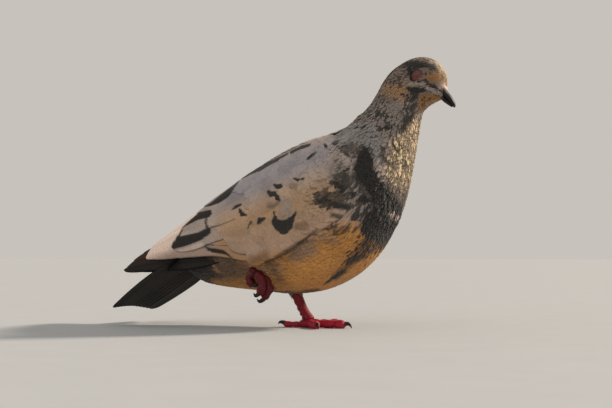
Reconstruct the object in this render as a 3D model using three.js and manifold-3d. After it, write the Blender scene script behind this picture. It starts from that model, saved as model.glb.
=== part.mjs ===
// A life-size feral pigeon as a still museum model: it stands on its left leg with the right foot tucked up.
// Millimetres. +X is the way the bird faces, +Y its left side, +Z up. The origin is on the floor, under the
// middle of the sole of the standing foot.
import * as THREE from "three";
import { mergeVertices } from "three/addons/utils/BufferGeometryUtils.js";
import Module from "manifold-3d";

const wasm = await Module();
wasm.setup();

// ---------------------------------------------------------------- driving dimensions
const GAP = 0.3; // the thin cut between neighbouring pieces
const EYE_RADIUS = 5.8; // the whole eyeball; about 7 mm of it shows
const EYE_X = 85.2; // the eye's place on the head
const EYE_Y = 8.6;
const EYE_Z = 169.2;
const TAIL_ROLL = [0.4, 0.07]; // how far the tail leans, its right edge up, at its root and its tip, radians
const TAIL_FEATHERS = 12;
const TAIL_THICKNESS = 1.6;
const SHIELD_THICKNESS = 4.6; // the folded wing, at the shoulder
const PRIMARY_THICKNESS = 1.5;
const SHANK_RADIUS = 3.5;
const TOE_RADIUS = 2.8;
const SOLE_HALF = [6.6, 5.6, 4];

// Stations of the body from the tail's root to the root of the bill: a point of the back, the point of the
// underside opposite it, and half the width there.
const BODY = [
  { name: "tail root", back: [-92, 55], under: [-89, 38], half: 11 },
  { name: "under-tail", back: [-80, 65], under: [-79, 31.5], half: 17 },
  { name: "vent", back: [-66, 77], under: [-67, 28.5], half: 22.5 },
  { name: "rump", back: [-47, 92], under: [-50, 26.5], half: 28.5 },
  { name: "loin", back: [-26, 105.5], under: [-31, 25], half: 34.5 },
  { name: "belly", back: [-6, 117], under: [-9, 23.2], half: 39 },
  { name: "mid back", back: [11, 127], under: [14, 26], half: 41.5 },
  { name: "keel", back: [23, 133], under: [33, 34], half: 42 },
  { name: "crop low", back: [30, 136.5], under: [47, 45], half: 41 },
  { name: "shoulder", back: [34.5, 139.5], under: [57.5, 58.5], half: 38.5 },
  { name: "breast", back: [38, 142.5], under: [64.8, 73], half: 35.5 },
  { name: "upper breast", back: [41.3, 146], under: [70.6, 89], half: 31.5 },
  { name: "neck root", back: [44.6, 150.2], under: [75, 105], half: 27 },
  { name: "low neck", back: [48.6, 155.6], under: [77.8, 119], half: 23 },
  { name: "mid neck", back: [53.4, 161.8], under: [80, 130.5], half: 20 },
  { name: "upper neck", back: [58.8, 168.6], under: [82, 139.8], half: 17.4 },
  { name: "nape", back: [64.8, 174.9], under: [84.2, 146], half: 16.1 },
  { name: "hind crown", back: [71.6, 180.3], under: [88, 149.8], half: 15.2 },
  { name: "crown", back: [79.2, 183.4], under: [92.2, 152.2], half: 14.2 },
  { name: "eye", back: [86.8, 183.8], under: [95.4, 153.6], half: 13.1 },
  { name: "brow", back: [93.9, 181.2], under: [97.5, 154.4], half: 10.8 },
  { name: "forehead", back: [98.9, 176.2], under: [98.9, 155], half: 8.1 },
  { name: "lore", back: [101.2, 170.6], under: [99.7, 155.6], half: 5.6 },
  { name: "bill root", back: [100.9, 165.2], under: [99.9, 156.4], half: 4.3 },
];
const TRUNK_ENDS = 11.55; // station numbers of the thin cuts
const NECK_ENDS = 16.3;
const BODY_ROUNDNESS = 2.15; // exponent of the cross-sections: 2 is an ellipse

// Stations of one folded wing, from the wrist to the end of the secondaries: its upper edge near the
// midline, and its lower edge on the flank.
const SHIELD = [
  { x: 50, top: [37, 103], low: [38, 96.5] },
  { x: 47.5, top: [35.8, 115], low: [39.6, 87] },
  { x: 41, top: [31.6, 125.4], low: [42, 77.5] },
  { x: 29, top: [20.6, 131.4], low: [43.6, 70] },
  { x: 15, top: [9, 132.5], low: [43.8, 63.6] },
  { x: 0, top: [5, 129.2], low: [42.4, 56.6] },
  { x: -15, top: [4, 123.3], low: [39.8, 50.6] },
  { x: -30, top: [3.6, 115.6], low: [36.6, 47.2] },
  { x: -45, top: [3.6, 107.2], low: [33, 48.6] },
  { x: -60, top: [3.6, 98], low: [28.8, 49.8] },
  { x: -75, top: [3.8, 88.6], low: [24.8, 48.4] },
  { x: -90, top: [4, 78.2], low: [21.2, 47] },
  { x: -105, top: [4.4, 68], low: [18.4, 45.9] },
  { x: -117, top: [6, 60], low: [15.6, 46.6] },
];
const SHOULDER_ENDS = -8; // x of the cut between the wing's shoulder and its secondaries
// The blade of the primaries under it, which reaches the wing's tip.
const PRIMARIES = [
  { x: -54, top: [24.6, 55], low: [26, 46] },
  { x: -64, top: [22.6, 55.5], low: [23.6, 42.6] },
  { x: -78, top: [19.4, 57], low: [20.8, 40] },
  { x: -93, top: [14.6, 58], low: [18, 38.8] },
  { x: -108, top: [9.4, 57.5], low: [15.4, 38.4] },
  { x: -120, top: [6.4, 54.6], low: [13.4, 38.4] },
  { x: -131, top: [6.6, 48.2], low: [11.6, 38.6] },
  { x: -138, top: [7.4, 43.2], low: [10.4, 38.8] },
  { x: -142.5, top: [7.6, 40.8], low: [9.8, 39] },
];

// ---------------------------------------------------------------- numbers and curves
const lerp = THREE.MathUtils.lerp;
const clamp = THREE.MathUtils.clamp;
const smoothstep = THREE.MathUtils.smoothstep;
const vec = (x, y, z) => new THREE.Vector3(x, y, z);

// A smooth curve through rows of numbers, read at a row number that need not be whole.
function throughRows(rows) {
  const curve = new THREE.CatmullRomCurve3(rows.map(([a, b, c = 0]) => vec(a, b, c)), false, "catmullrom", 0.5);
  return (at) => curve.getPoint(clamp(at / (rows.length - 1), 0, 1));
}

const signedPower = (value, power) => Math.sign(value) * Math.abs(value) ** power;
const steps = (count) => Array.from({ length: count + 1 }, (_, i) => i / count);

// ---------------------------------------------------------------- solids
// A closed body from rings of points, each ring closed in itself; the ends are fans to the ring's middle.
function loft(rings) {
  const around = rings[0].length;
  const points = rings.flat();
  const middle = (ring) => ring.reduce((sum, p) => sum.clone().add(p), vec(0, 0, 0)).divideScalar(around);
  const first = points.length;
  points.push(middle(rings[0]), middle(rings[rings.length - 1]));
  const faces = [];
  for (let i = 0; i + 1 < rings.length; i++) {
    for (let j = 0; j < around; j++) {
      const a = i * around + j;
      const b = i * around + ((j + 1) % around);
      faces.push(a, b, b + around, a, b + around, a + around);
    }
  }
  const last = (rings.length - 1) * around;
  for (let j = 0; j < around; j++) {
    const next = (j + 1) % around;
    faces.push(first, next, j, first + 1, last + j, last + next);
  }
  return fromGeometry(new THREE.BufferGeometry().setFromPoints(points).setIndex(faces));
}

// A closed three.js geometry as a manifold-3d solid, turned the right way out.
function fromGeometry(geometry) {
  const bare = geometry.clone();
  bare.deleteAttribute("normal");
  bare.deleteAttribute("uv");
  const merged = mergeVertices(bare, 1e-4);
  const vertProperties = merged.attributes.position.array;
  const build = (triVerts) => new wasm.Manifold(new wasm.Mesh({ numProp: 3, vertProperties, triVerts }));
  const made = build(new Uint32Array(merged.index.array));
  return made.volume() > 0 ? made : build(new Uint32Array(merged.index.array).reverse());
}

function toGeometry(made) {
  const mesh = made.getMesh();
  const geometry = new THREE.BufferGeometry();
  geometry.setAttribute("position", new THREE.BufferAttribute(new Float32Array(mesh.vertProperties), 3));
  geometry.setIndex(new THREE.BufferAttribute(new Uint32Array(mesh.triVerts), 1));
  return geometry;
}

// An ellipsoid at a place, with its half-axes and a tilt about Y.
function ellipsoid(at, half, tilt = 0, across = 20, down = 14) {
  const geometry = new THREE.SphereGeometry(1, across, down);
  geometry.rotateX(Math.PI / 2).scale(...half).rotateY(tilt).translate(...at);
  return fromGeometry(geometry);
}

// The biggest of the bodies left by a cut, without the crumbs.
function largest(made) {
  return made.decompose().reduce((best, one) => (one.volume() > best.volume() ? one : best));
}

// ---------------------------------------------------------------- body
const backLine = throughRows(BODY.map((s) => s.back));
const underLine = throughRows(BODY.map((s) => s.under));
const halfWidth = throughRows(BODY.map((s) => [s.half, 0]));

// The cross-section at a station: an oval in the plane of its back and underside points.
function bodyRing(station, around, grow) {
  const back = backLine(station);
  const under = underLine(station);
  const half = halfWidth(station).x;
  const swell = 1 + grow / half;
  return steps(around).slice(0, -1).map((share) => {
    const angle = share * 2 * Math.PI;
    const up = swell * signedPower(Math.cos(angle), 2 / BODY_ROUNDNESS);
    const side = swell * signedPower(Math.sin(angle), 2 / BODY_ROUNDNESS);
    const middle = (1 + up) / 2;
    return vec(lerp(under.x, back.x, middle), half * side, lerp(under.y, back.y, middle));
  });
}

// The body between two stations, with flat ends.
function bodyLength(from, to, rings, around, grow = 0) {
  return loft(steps(rings).map((share) => bodyRing(lerp(from, to, share), around, grow)));
}

// ---------------------------------------------------------------- wings
// A folded wing is a curved shell. Its section at a station runs over the back and down the flank as one
// cubic curve; inset moves that curve towards the body.
function shellPoint(row, share, inset) {
  const [topY, topZ, lowY, lowZ] = row;
  const reach = lowY - topY;
  const drop = topZ - lowZ;
  const curve = new THREE.CubicBezierCurve(
    new THREE.Vector2(topY, topZ),
    new THREE.Vector2(topY + 0.62 * reach, topZ - 0.08 * drop),
    new THREE.Vector2(lowY + 0.06 * reach, lowZ + 0.52 * drop),
    new THREE.Vector2(lowY, lowZ),
  );
  const point = curve.getPoint(share);
  const along = curve.getTangent(clamp(share, 0, 1));
  return point.add(new THREE.Vector2(-along.y, along.x).multiplyScalar(-inset));
}

const SHELL_POINTS = 5;
const SHELL_RINGS = 12;
const BLADE_RINGS = 7;
const SHELL_EDGE = 0.8; // the least thickness
const SHELL_SLENDER = 0.4; // the most, as a share of the section's height

// side is -1 for the right wing and 1 for the left; thick(x) is the shell's thickness.
// The room cut for a shell reaches outward past it, and is wider and longer than it is by the margin, a share.
function shell(stations, rings, side, outer, margin, thick) {
  const upper = throughRows(stations.map((s) => [s.x, ...s.top]));
  const lower = throughRows(stations.map((s) => [s.x, ...s.low]));
  const across = margin > 0 ? [-margin, ...steps(SHELL_POINTS), 1 + margin] : steps(SHELL_POINTS);
  return loft(steps(rings).map((share, ring) => {
    const at = share * (stations.length - 1);
    const shift = vec(ring === 0 && margin > 0 ? GAP : 0, 0, 0);
    const top = upper(at).add(shift);
    const low = lower(at).add(shift);
    const row = [top.y, top.z, low.y, low.z];
    const place = (v, inset) => {
      const p = shellPoint(row, v, inset);
      return vec(lerp(top.x, low.x, v), side * p.x, p.y);
    };
    // The shell thins towards its edges, and where it is narrow, but stays over half a millimetre.
    const most = Math.min(thick(top.x), SHELL_SLENDER * Math.hypot(low.y - top.y, top.z - low.z));
    const depth = (v) => Math.max(SHELL_EDGE, most * Math.sqrt(clamp(4 * v * (1 - v) + 0.12, 0, 1)));
    return [
      ...across.map((v) => place(v, -outer)),
      ...across.toReversed().map((v) => place(v, depth(v))),
    ];
  }));
}

const shieldThickness = (x) => lerp(PRIMARY_THICKNESS, SHIELD_THICKNESS, smoothstep(x, -100, 10));

// Everything on the flank's side of a half-space x > at or x < at.
function beside(at, forward) {
  const size = 400;
  const box = new THREE.BoxGeometry(size, size, size);
  box.translate(at + (forward ? size / 2 : -size / 2), 0, 100);
  return fromGeometry(box);
}

function wing(side) {
  const cover = (outer, margin, grow) =>
    shell(SHIELD, SHELL_RINGS, side, outer, margin, (x) => shieldThickness(x) + grow);
  const blade = (outer, margin, grow) =>
    shell(PRIMARIES, BLADE_RINGS, side, outer, margin, () => PRIMARY_THICKNESS + grow);
  const whole = cover(0, 0, 0);
  return {
    coverts: largest(whole.intersect(beside(SHOULDER_ENDS + GAP / 2, true))),
    secondaries: largest(whole.intersect(beside(SHOULDER_ENDS - GAP / 2, false))),
    primaries: blade(0, 0, 0),
    rooms: [cover(12, 0.01, GAP), blade(8, 0.06, 1.4 * GAP)],
  };
}

// ---------------------------------------------------------------- tail
// A slightly fanned tail of overlapping feathers, drawn as one plate: each feather's outer edge lies a step
// below the next, its tip is rounded, and the outer ones are a little shorter.
const TAIL_ROOT = vec(-74, 0, 53);
const TAIL_TIP = vec(-139.5, 0, 13.4);
const TAIL_HALF = [13, 30];

function tail() {
  const direction = TAIL_TIP.clone().sub(TAIL_ROOT);
  const point = (u, v, below) => {
    const place = ((u + 1) / 2) * TAIL_FEATHERS;
    const inFeather = place - Math.min(Math.floor(place), TAIL_FEATHERS - 1);
    const outward = u < 0 ? 1 - inFeather : inFeather;
    const step = 0.5 * v * (0.5 - outward);
    const length = v * (1.01 - 0.05 * u * u - 0.025 * (2 * inFeather - 1) ** 2);
    const y = u * lerp(TAIL_HALF[0], TAIL_HALF[1], length);
    const lift = 1.6 * Math.sin(Math.PI * v) - 0.0022 * y * y + step;
    const depth = below ? TAIL_THICKNESS * lerp(1.6, 0.7, v) : 0;
    const p = TAIL_ROOT.clone().addScaledVector(direction, length);
    const roll = lerp(...TAIL_ROLL, length);
    return vec(p.x, y * Math.cos(roll), p.z + lift - depth - y * Math.sin(roll));
  };
  const row = steps(TAIL_FEATHERS * 2).map((share) => 2 * share - 1);
  return loft(steps(4).map((v) => [
    ...row.map((u) => point(u, v, false)),
    ...row.toReversed().map((u) => point(u, v, true)),
  ]));
}

// ---------------------------------------------------------------- legs
// A tube along a path with a radius at each of its points; with a floor, nothing of it reaches below z = 0.
// Each ring's side direction is the last one's, laid square to the path, so that the tube doesn't twist.
const NEARLY_UPRIGHT = 0.2;

function limb(path, radii, around = 10, rings = 10, floor = true) {
  const curve = new THREE.CatmullRomCurve3(path, false, "catmullrom", 0.5);
  const radius = throughRows(radii.map((r) => [r, 0]));
  const first = curve.getTangent(0);
  let side = vec(0, 0, 1).cross(first);
  if (side.length() < NEARLY_UPRIGHT) side = vec(0, 1, 0);
  return loft(steps(rings).map((share) => {
    const centre = curve.getPoint(share);
    const along = curve.getTangent(share);
    side = side.clone().addScaledVector(along, -side.dot(along)).normalize();
    const up = along.clone().cross(side);
    const r = radius(share * (radii.length - 1)).x;
    return steps(around).slice(0, -1).map((s) => {
      const p = centre.clone()
        .addScaledVector(side, r * Math.cos(2 * Math.PI * s))
        .addScaledVector(up, r * Math.sin(2 * Math.PI * s));
      if (floor) p.z = Math.max(0, p.z);
      return p;
    });
  }));
}

// Toes of the standing foot: the way each points, seen from above, its length without the claw, how thick it
// is, and its number as birds' toes are counted: 1 is the hind toe, 3 the middle one.
const STANDING_TOES = [
  { number: 1, heading: 181, length: 17.5, thick: 0.72 },
  { number: 2, heading: -53, length: 20, thick: 0.96 },
  { number: 3, heading: -3, length: 27, thick: 1 },
  { number: 4, heading: 47, length: 23, thick: 0.96 },
];
const SOLE_X = 2;
const CLAW_LENGTH = 6.5;
const CLAW_RADIUS = 1.4;

// The radii of the room round a limb.
const wider = (radii) => radii.map((radius) => radius + GAP);

function standingToe({ heading, length, thick, number }) {
  const angle = (heading * Math.PI) / 180;
  const at = (reach, z) => vec(SOLE_X + reach * Math.cos(angle), reach * Math.sin(angle), z);
  const r = TOE_RADIUS * thick;
  const path = [at(2.5, 3.8), at(length * 0.35, r * 0.98), at(length * 0.7, r * 0.92), at(length, r * 0.95)];
  const radii = [0.76, 0.96, 1.05, 0.92, 1.08, 0.76].map((share) => share * r);
  const clawRadii = [CLAW_RADIUS, CLAW_RADIUS, CLAW_RADIUS * 0.8, 0.3];
  const tip = number === 1 ? 2 : 0.4;
  const claw = [
    at(length - 1, 3),
    at(length + 2.2, 3.5),
    at(length + 4.8, 2 + tip / 2),
    at(length + CLAW_LENGTH, tip),
  ];
  return {
    toe: limb(path, radii, 8, 7),
    toeRoom: limb(path, wider(radii), 8, 7, false),
    claw: limb(claw, clawRadii, 6, 4),
    clawRoom: limb(claw, wider(clawRadii), 6, 4, false),
  };
}

// Toes of the tucked right foot: each is a path that curls down and back from the foot's knuckle.
const TUCKED_TOES = [
  {
    number: 1,
    path: [[-28.5, -22.6, 37.6], [-33, -22.4, 35.6], [-32.4, -22.6, 31.6], [-29.4, -22.8, 29.4]],
    tip: [-26.9, -23, 31.2],
  },
  {
    number: 2,
    path: [[-24, -19.2, 38.6], [-19.4, -18.4, 34], [-19.4, -18.2, 28], [-21.8, -18.4, 23.6]],
    tip: [-26.2, -19, 23.6],
  },
  {
    number: 3,
    path: [[-24, -24.6, 38.8], [-18.9, -24.8, 33.8], [-18.7, -24.8, 26], [-21.2, -24.6, 19.6]],
    tip: [-26.4, -24.6, 20.2],
  },
  {
    number: 4,
    path: [[-25, -30, 37.8], [-22, -31.2, 33.6], [-21.8, -31.4, 28.2], [-23.6, -31, 24]],
    tip: [-27.6, -30.4, 25],
  },
];

function tuckedToe({ path, tip }) {
  const points = path.map((p) => vec(...p));
  const end = points[points.length - 1];
  const before = points[points.length - 2];
  const point = vec(...tip);
  const bend = end.clone().lerp(point, 0.5).add(end.clone().sub(before).setLength(1.9));
  const claw = [end.clone().lerp(before, 0.12), bend, point];
  const radii = [0.92, 0.98, 0.85, 0.96, 0.65].map((share) => share * TOE_RADIUS);
  const clawRadii = [CLAW_RADIUS, CLAW_RADIUS * 0.9, 0.3];
  return {
    toe: limb(points, radii, 8, 7, false),
    toeRoom: limb(points, wider(radii), 8, 7, false),
    claw: limb(claw, clawRadii, 6, 4, false),
    clawRoom: limb(claw, wider(clawRadii), 6, 4, false),
  };
}

const KNUCKLE = vec(2.6, 0.4, 4.2);
const HEEL = vec(-14.6, 5, 36);
const KNUCKLE_HALF = [4.8, 7, 4];
const KNUCKLE_TILT = 0.3;
const TUCKED_KNUCKLE = vec(-27, -24, 39.6);
const TUCKED_HEEL = vec(-41, -20, 52);

function shank(grow) {
  const path = [KNUCKLE, KNUCKLE.clone().lerp(HEEL, 0.35).add(vec(-1.2, 0, 0)), HEEL];
  const r = SHANK_RADIUS + grow;
  return limb(path, [r * 1.2, r, r * 0.98, r * 1.1, r * 1.3], 10, 6, false);
}

function tuckedShank(grow) {
  const r = SHANK_RADIUS * 0.85 + grow;
  const path = [TUCKED_KNUCKLE, TUCKED_KNUCKLE.clone().lerp(TUCKED_HEEL, 0.5), TUCKED_HEEL];
  return limb(path, [r, r, r], 8, 4, false);
}

// The feathered thigh is the part of the body inside an egg: its middle, half-axes and tilt.
const THIGH = {
  left: [[-20, 15, 46], [21, 16.5, 18.5], 0.25],
  right: [[-24, -22, 54], [23, 19, 12.5], 0.15],
};

// ---------------------------------------------------------------- bill
// Stations of each half of the bill, from root to tip: upper line, lower line, half width.
const UPPER_BILL = [
  { top: [99.6, 163.2], low: [97.2, 157.9], half: 4.1 },
  { top: [101.3, 161.2], low: [99.4, 156.9], half: 3.9 },
  { top: [102.5, 158.2], low: [101, 155.2], half: 3.3 },
  { top: [104.4, 155.7], low: [102.7, 153.2], half: 2.8 },
  { top: [106, 153.3], low: [104.4, 151.4], half: 2.2 },
  { top: [107.3, 150.9], low: [106, 149.7], half: 1.5 },
  { top: [108, 148.6], low: [107.2, 147.9], half: 0.6 },
];
const LOWER_BILL = [
  { top: [96.6, 158.3], low: [94.6, 155.2], half: 3.9 },
  { top: [99, 157.5], low: [97.2, 153.9], half: 3.7 },
  { top: [101.4, 155.5], low: [99.8, 152.2], half: 3 },
  { top: [103.2, 153.5], low: [101.8, 150.9], half: 2.4 },
  { top: [104.8, 151.7], low: [103.7, 149.8], half: 1.7 },
  { top: [106.2, 150], low: [105.6, 148.9], half: 0.8 },
];

function billHalf(stations, grow) {
  const top = throughRows(stations.map((s) => s.top));
  const low = throughRows(stations.map((s) => s.low));
  const half = throughRows(stations.map((s) => [s.half, 0]));
  return loft(steps(6).map((share) => {
    const at = share * (stations.length - 1);
    const a = top(at);
    const b = low(at);
    const middle = a.clone().add(b).multiplyScalar(0.5);
    const up = a.clone().sub(b).multiplyScalar(0.5);
    const reach = 1 + grow / Math.max(0.5, up.length());
    return steps(8).slice(0, -1).map((s) => {
      const angle = 2 * Math.PI * s;
      const rise = signedPower(Math.cos(angle), 0.85) * reach;
      return vec(middle.x + up.x * rise, (half(at).x + grow) * Math.sin(angle), middle.y + up.y * rise);
    });
  }));
}

const CERE_X = 100.2;
const CERE_Z = 162.1;
const CERE_HALF = [2.7, 2.1, 1.6];
const CERE_TILT = 0.95;

function cere(grow) {
  const half = CERE_HALF.map((h) => h + grow);
  const lobe = (side) => ellipsoid([CERE_X, side * 1.7, CERE_Z], half, CERE_TILT, 8, 6);
  return lobe(-1).add(lobe(1));
}

// ---------------------------------------------------------------- assembly
const FEATHER = { pale: 0xd8cdc0, dark: 0x3a3735, grey: 0x8b837c };
const material = (color, roughness) => new THREE.MeshStandardMaterial({ color, roughness, metalness: 0 });
const MATERIALS = {
  coat: material(FEATHER.pale, 0.85),
  mottled: material(FEATHER.grey, 0.85),
  flight: material(FEATHER.dark, 0.7),
  scales: material(0xa8323e, 0.5),
  horn: material(0x1d1a19, 0.35),
  cere: material(0xd9b7a6, 0.6),
  iris: material(0xa8402a, 0.1),
};

const pigeon = new THREE.Group();

function add(name, made, look) {
  const mesh = new THREE.Mesh(toGeometry(made), look);
  mesh.name = name;
  pigeon.add(mesh);
}

const sides = [["right", -1], ["left", 1]];
const without = (made, rooms) => largest(rooms.reduce((rest, room) => rest.subtract(room), made));

// Head, with its sockets and the room for the bill's root.
const eyes = sides.map(([name, side]) => [name, [EYE_X, side * EYE_Y, EYE_Z]]);
const eyeball = (at, grow) => ellipsoid(at, Array(3).fill(EYE_RADIUS + grow), 0, 12, 6);
const sockets = eyes.map(([, at]) => eyeball(at, GAP));
const billRooms = [billHalf(UPPER_BILL, GAP), billHalf(LOWER_BILL, GAP)];
const skull = bodyLength(NECK_ENDS + 0.03, BODY.length - 1, 10, 18);
add("head", without(skull, [...sockets, ...billRooms, cere(GAP)]), MATERIALS.mottled);
for (const [name, at] of eyes) add(`eye_${name}`, eyeball(at, 0), MATERIALS.iris);
add("cere", without(cere(0), billRooms), MATERIALS.cere);
add("bill_upper", billHalf(UPPER_BILL, 0), MATERIALS.horn);
add("bill_lower", without(billHalf(LOWER_BILL, 0), [billRooms[0]]), MATERIALS.horn);
add("neck", bodyLength(TRUNK_ENDS + 0.03, NECK_ENDS - 0.03, 6, 20), MATERIALS.mottled);

// Feet and shanks.
const sole = (grow) => {
  const at = [SOLE_X - 0.6, 0, SOLE_HALF[2] * 0.62];
  return ellipsoid(at, SOLE_HALF.map((h) => h + grow), 0, 12, 6);
};
const floor = fromGeometry(new THREE.BoxGeometry(60, 60, 60).translate(0, 0, -30));
const knuckle = (grow) => {
  const half = KNUCKLE_HALF.map((h) => h + grow);
  return ellipsoid(TUCKED_KNUCKLE.toArray(), half, KNUCKLE_TILT, 12, 6);
};
const numbered = (toes, build) => toes.map((toe) => [toe.number, build(toe)]);
const feet = [
  { side: "left", toes: numbered(STANDING_TOES, standingToe), pad: sole, leg: shank },
  { side: "right", toes: numbered(TUCKED_TOES, tuckedToe), pad: knuckle, leg: tuckedShank },
];
for (const { side, toes, pad, leg } of feet) {
  for (const [number, { toe, claw, clawRoom }] of toes) {
    add(`toe_${side}_${number}`, without(toe, [pad(GAP), clawRoom]), MATERIALS.scales);
    add(`claw_${side}_${number}`, claw, MATERIALS.horn);
  }
  const rooms = [pad(GAP), ...toes.map(([, { toeRoom }]) => toeRoom)];
  add(`shank_${side}`, without(leg(0), rooms), MATERIALS.scales);
}
add("sole_left", without(sole(0), [floor]), MATERIALS.scales);
add("knuckle_right", knuckle(0), MATERIALS.scales);

// Wings, then the trunk and the thighs with room for all that lies against them.
const wings = sides.map(([name, side]) => [name, wing(side)]);
for (const [name, made] of wings) {
  add(`wing_${name}_coverts`, made.coverts, MATERIALS.coat);
  add(`wing_${name}_secondaries`, made.secondaries, MATERIALS.coat);
  add(`wing_${name}_primaries`, made.primaries, MATERIALS.flight);
}
const wingRooms = wings.flatMap(([, made]) => made.rooms);
const footRooms = feet[1].toes.flatMap(([, { toeRoom, clawRoom }]) => [toeRoom, clawRoom]);
const legRooms = [shank(GAP), tuckedShank(GAP), knuckle(GAP), ...footRooms];
const body = (grow) => bodyLength(0, TRUNK_ENDS - 0.03, 13, 20, grow);
const whole = without(body(0), [...wingRooms, ...legRooms]);
const thighEgg = (name, grow) => {
  const [at, half, tilt] = THIGH[name];
  return ellipsoid(at, half.map((h) => h + grow), tilt, 12, 6);
};
add("trunk", without(whole, sides.map(([name]) => thighEgg(name, GAP))), MATERIALS.coat);
for (const [name] of sides) add(`thigh_${name}`, largest(whole.intersect(thighEgg(name, 0))), MATERIALS.coat);
add("tail", without(tail(), [body(GAP), ...wings.map(([, made]) => made.rooms[1])]), MATERIALS.flight);

export default pigeon;
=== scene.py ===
"""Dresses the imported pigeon: skin, plumage, bill, eyes and feet, on a plain studio floor.

Shapes are worked out in millimetres, in the frame of the CAD model: +X is the way the bird faces, +Y its left
side and +Z up, with the origin on the floor under the standing foot. They turn into metres in the mesh.
"""
import logging
import math
from collections.abc import Callable, Sequence
from dataclasses import dataclass, field
from enum import Enum

import bpy
import numpy as np
from bpy.types import ID, Material, Mesh, Node, NodeSocket, NodeTree, Object
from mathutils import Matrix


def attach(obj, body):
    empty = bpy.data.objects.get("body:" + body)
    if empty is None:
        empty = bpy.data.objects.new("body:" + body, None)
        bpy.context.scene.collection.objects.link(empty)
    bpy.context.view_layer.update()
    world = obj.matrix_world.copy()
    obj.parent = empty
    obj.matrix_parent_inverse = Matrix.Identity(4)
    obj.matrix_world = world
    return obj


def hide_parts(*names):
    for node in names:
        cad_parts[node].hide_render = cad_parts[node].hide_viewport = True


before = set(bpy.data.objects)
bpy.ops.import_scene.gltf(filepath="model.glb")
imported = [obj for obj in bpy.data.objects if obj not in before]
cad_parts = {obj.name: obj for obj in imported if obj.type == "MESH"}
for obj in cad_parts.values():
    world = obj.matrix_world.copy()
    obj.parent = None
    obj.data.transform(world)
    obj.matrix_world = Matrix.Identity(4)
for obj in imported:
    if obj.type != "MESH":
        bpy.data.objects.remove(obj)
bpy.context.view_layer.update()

LOG = logging.getLogger("pigeon")
MM = 0.001
FULL_TURN = 2 * math.pi
# The step of the differences that give a sheet its directions, in its own parameters.
TINY_STEP = 1e-3
BODY = "root"
Array = np.ndarray
Values = Array | float
Path = Sequence[Sequence[float]]


class Side(Enum):
    """A side of the bird, with the sign of Y there."""

    LEFT = 1
    RIGHT = -1

    @property
    def label(self) -> str:
        """The side's name, as the nodes spell it."""
        return self.name.lower()


# ---- numbers
def lerp(start: Array, end: Array, share: Array) -> Array:
    """The straight blend from start to end."""
    return start + (end - start) * share


def ease(value: Array, low: float, high: float) -> Array:
    """A smooth step: 0 below low, 1 above high, and a cubic rise between them."""
    share = np.clip((value - low) / (high - low), 0, 1)
    return share * share * (3 - 2 * share)


def unit(vectors: Array) -> Array:
    """Each vector divided by its length."""
    return vectors / np.maximum(np.linalg.norm(vectors, axis=-1, keepdims=True), 1e-12)


def dot(a: Array, b: Array) -> Array:
    """The dot product along the last axis."""
    return np.sum(a * b, axis=-1)


def xyz(x: Array, y: Array, z: Array) -> Array:
    """Points from their coordinates, each an array or one number for all."""
    return np.stack(np.broadcast_arrays(x, y, z), axis=-1)


def grid(rows: Array, columns: Array) -> list[Array]:
    """Every pair of a value from rows and one from columns, as two tables."""
    return np.meshgrid(rows, columns, indexing="ij")


def turns(count: int) -> Array:
    """Even shares of a full turn."""
    return np.arange(count) / count


def signed_power(value: Array, power: float) -> Array:
    """The power of a number's size, with the number's sign."""
    return np.sign(value) * np.abs(value) ** power


def through(rows: Array, at: Array) -> Array:
    """A uniform Catmull-Rom curve through rows of numbers, carried straight on past both ends.

    Args:
        rows: The rows that the curve goes through.
        at: Row numbers, which need not be whole.

    Returns:
        The interpolated rows, on a new last axis.
    """
    at = np.asarray(at, float)
    inside = np.clip(at, 0, len(rows) - 1)
    whole = np.minimum(inside.astype(int), len(rows) - 2)
    share = (inside - whole)[..., None]
    ends = np.vstack([2 * rows[0] - rows[1], rows, 2 * rows[-1] - rows[-2]])
    a, b, c, d = (ends[whole + k] for k in range(4))
    inner = b + 0.5 * (c - a) * share + (a - 2.5 * b + 2 * c - 0.5 * d) * share**2
    inner += (1.5 * (b - c) + 0.5 * (d - a)) * share**3
    beyond = (at - inside)[..., None]
    return inner + beyond * np.where(beyond < 0, rows[1] - rows[0], rows[-1] - rows[-2])


def value_noise(points: Array, size: float, seed: int = 0) -> Array:
    """Smooth noise from 0 to 1: a number hashed at each corner of a cubic lattice, blended between corners.

    Args:
        points: Points in millimetres.
        size: The lattice's pitch in millimetres.
        seed: Which field of noise.

    Returns:
        One number per point.
    """
    place = points / size + 31.7 * (seed + 1)
    cell = np.floor(place).astype(np.int64)
    share = place - cell
    share = share * share * (3 - 2 * share)
    total = np.zeros(points.shape[:-1])
    for corner in range(8):
        step = np.array([corner & 1, corner >> 1 & 1, corner >> 2 & 1])
        key = (cell + step) @ np.array([73856093, 19349663, 83492791])
        key = (key ^ (key >> 13)) * 1274126177 & 0x7FFFFFFF
        key = (key ^ (key >> 15)) * 668265263 & 0x7FFFFFFF
        total += np.prod(np.where(step, share, 1 - share), axis=-1) * (key % 65536) / 65535
    return total


def linear(colour: str) -> Array:
    """An sRGB hex colour as linear RGB."""
    raw = np.array([int(colour[k : k + 2], 16) for k in (1, 3, 5)]) / 255
    return np.where(raw <= 0.04045, raw / 12.92, ((raw + 0.055) / 1.055) ** 2.4)


def mix(start: str | Array, end: str | Array, share: Array) -> Array:
    """The blend in linear RGB from one colour to another, each in sRGB hex or already linear."""
    first, second = (linear(colour) if isinstance(colour, str) else colour for colour in (start, end))
    return lerp(first, second, np.asarray(share)[..., None])


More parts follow.
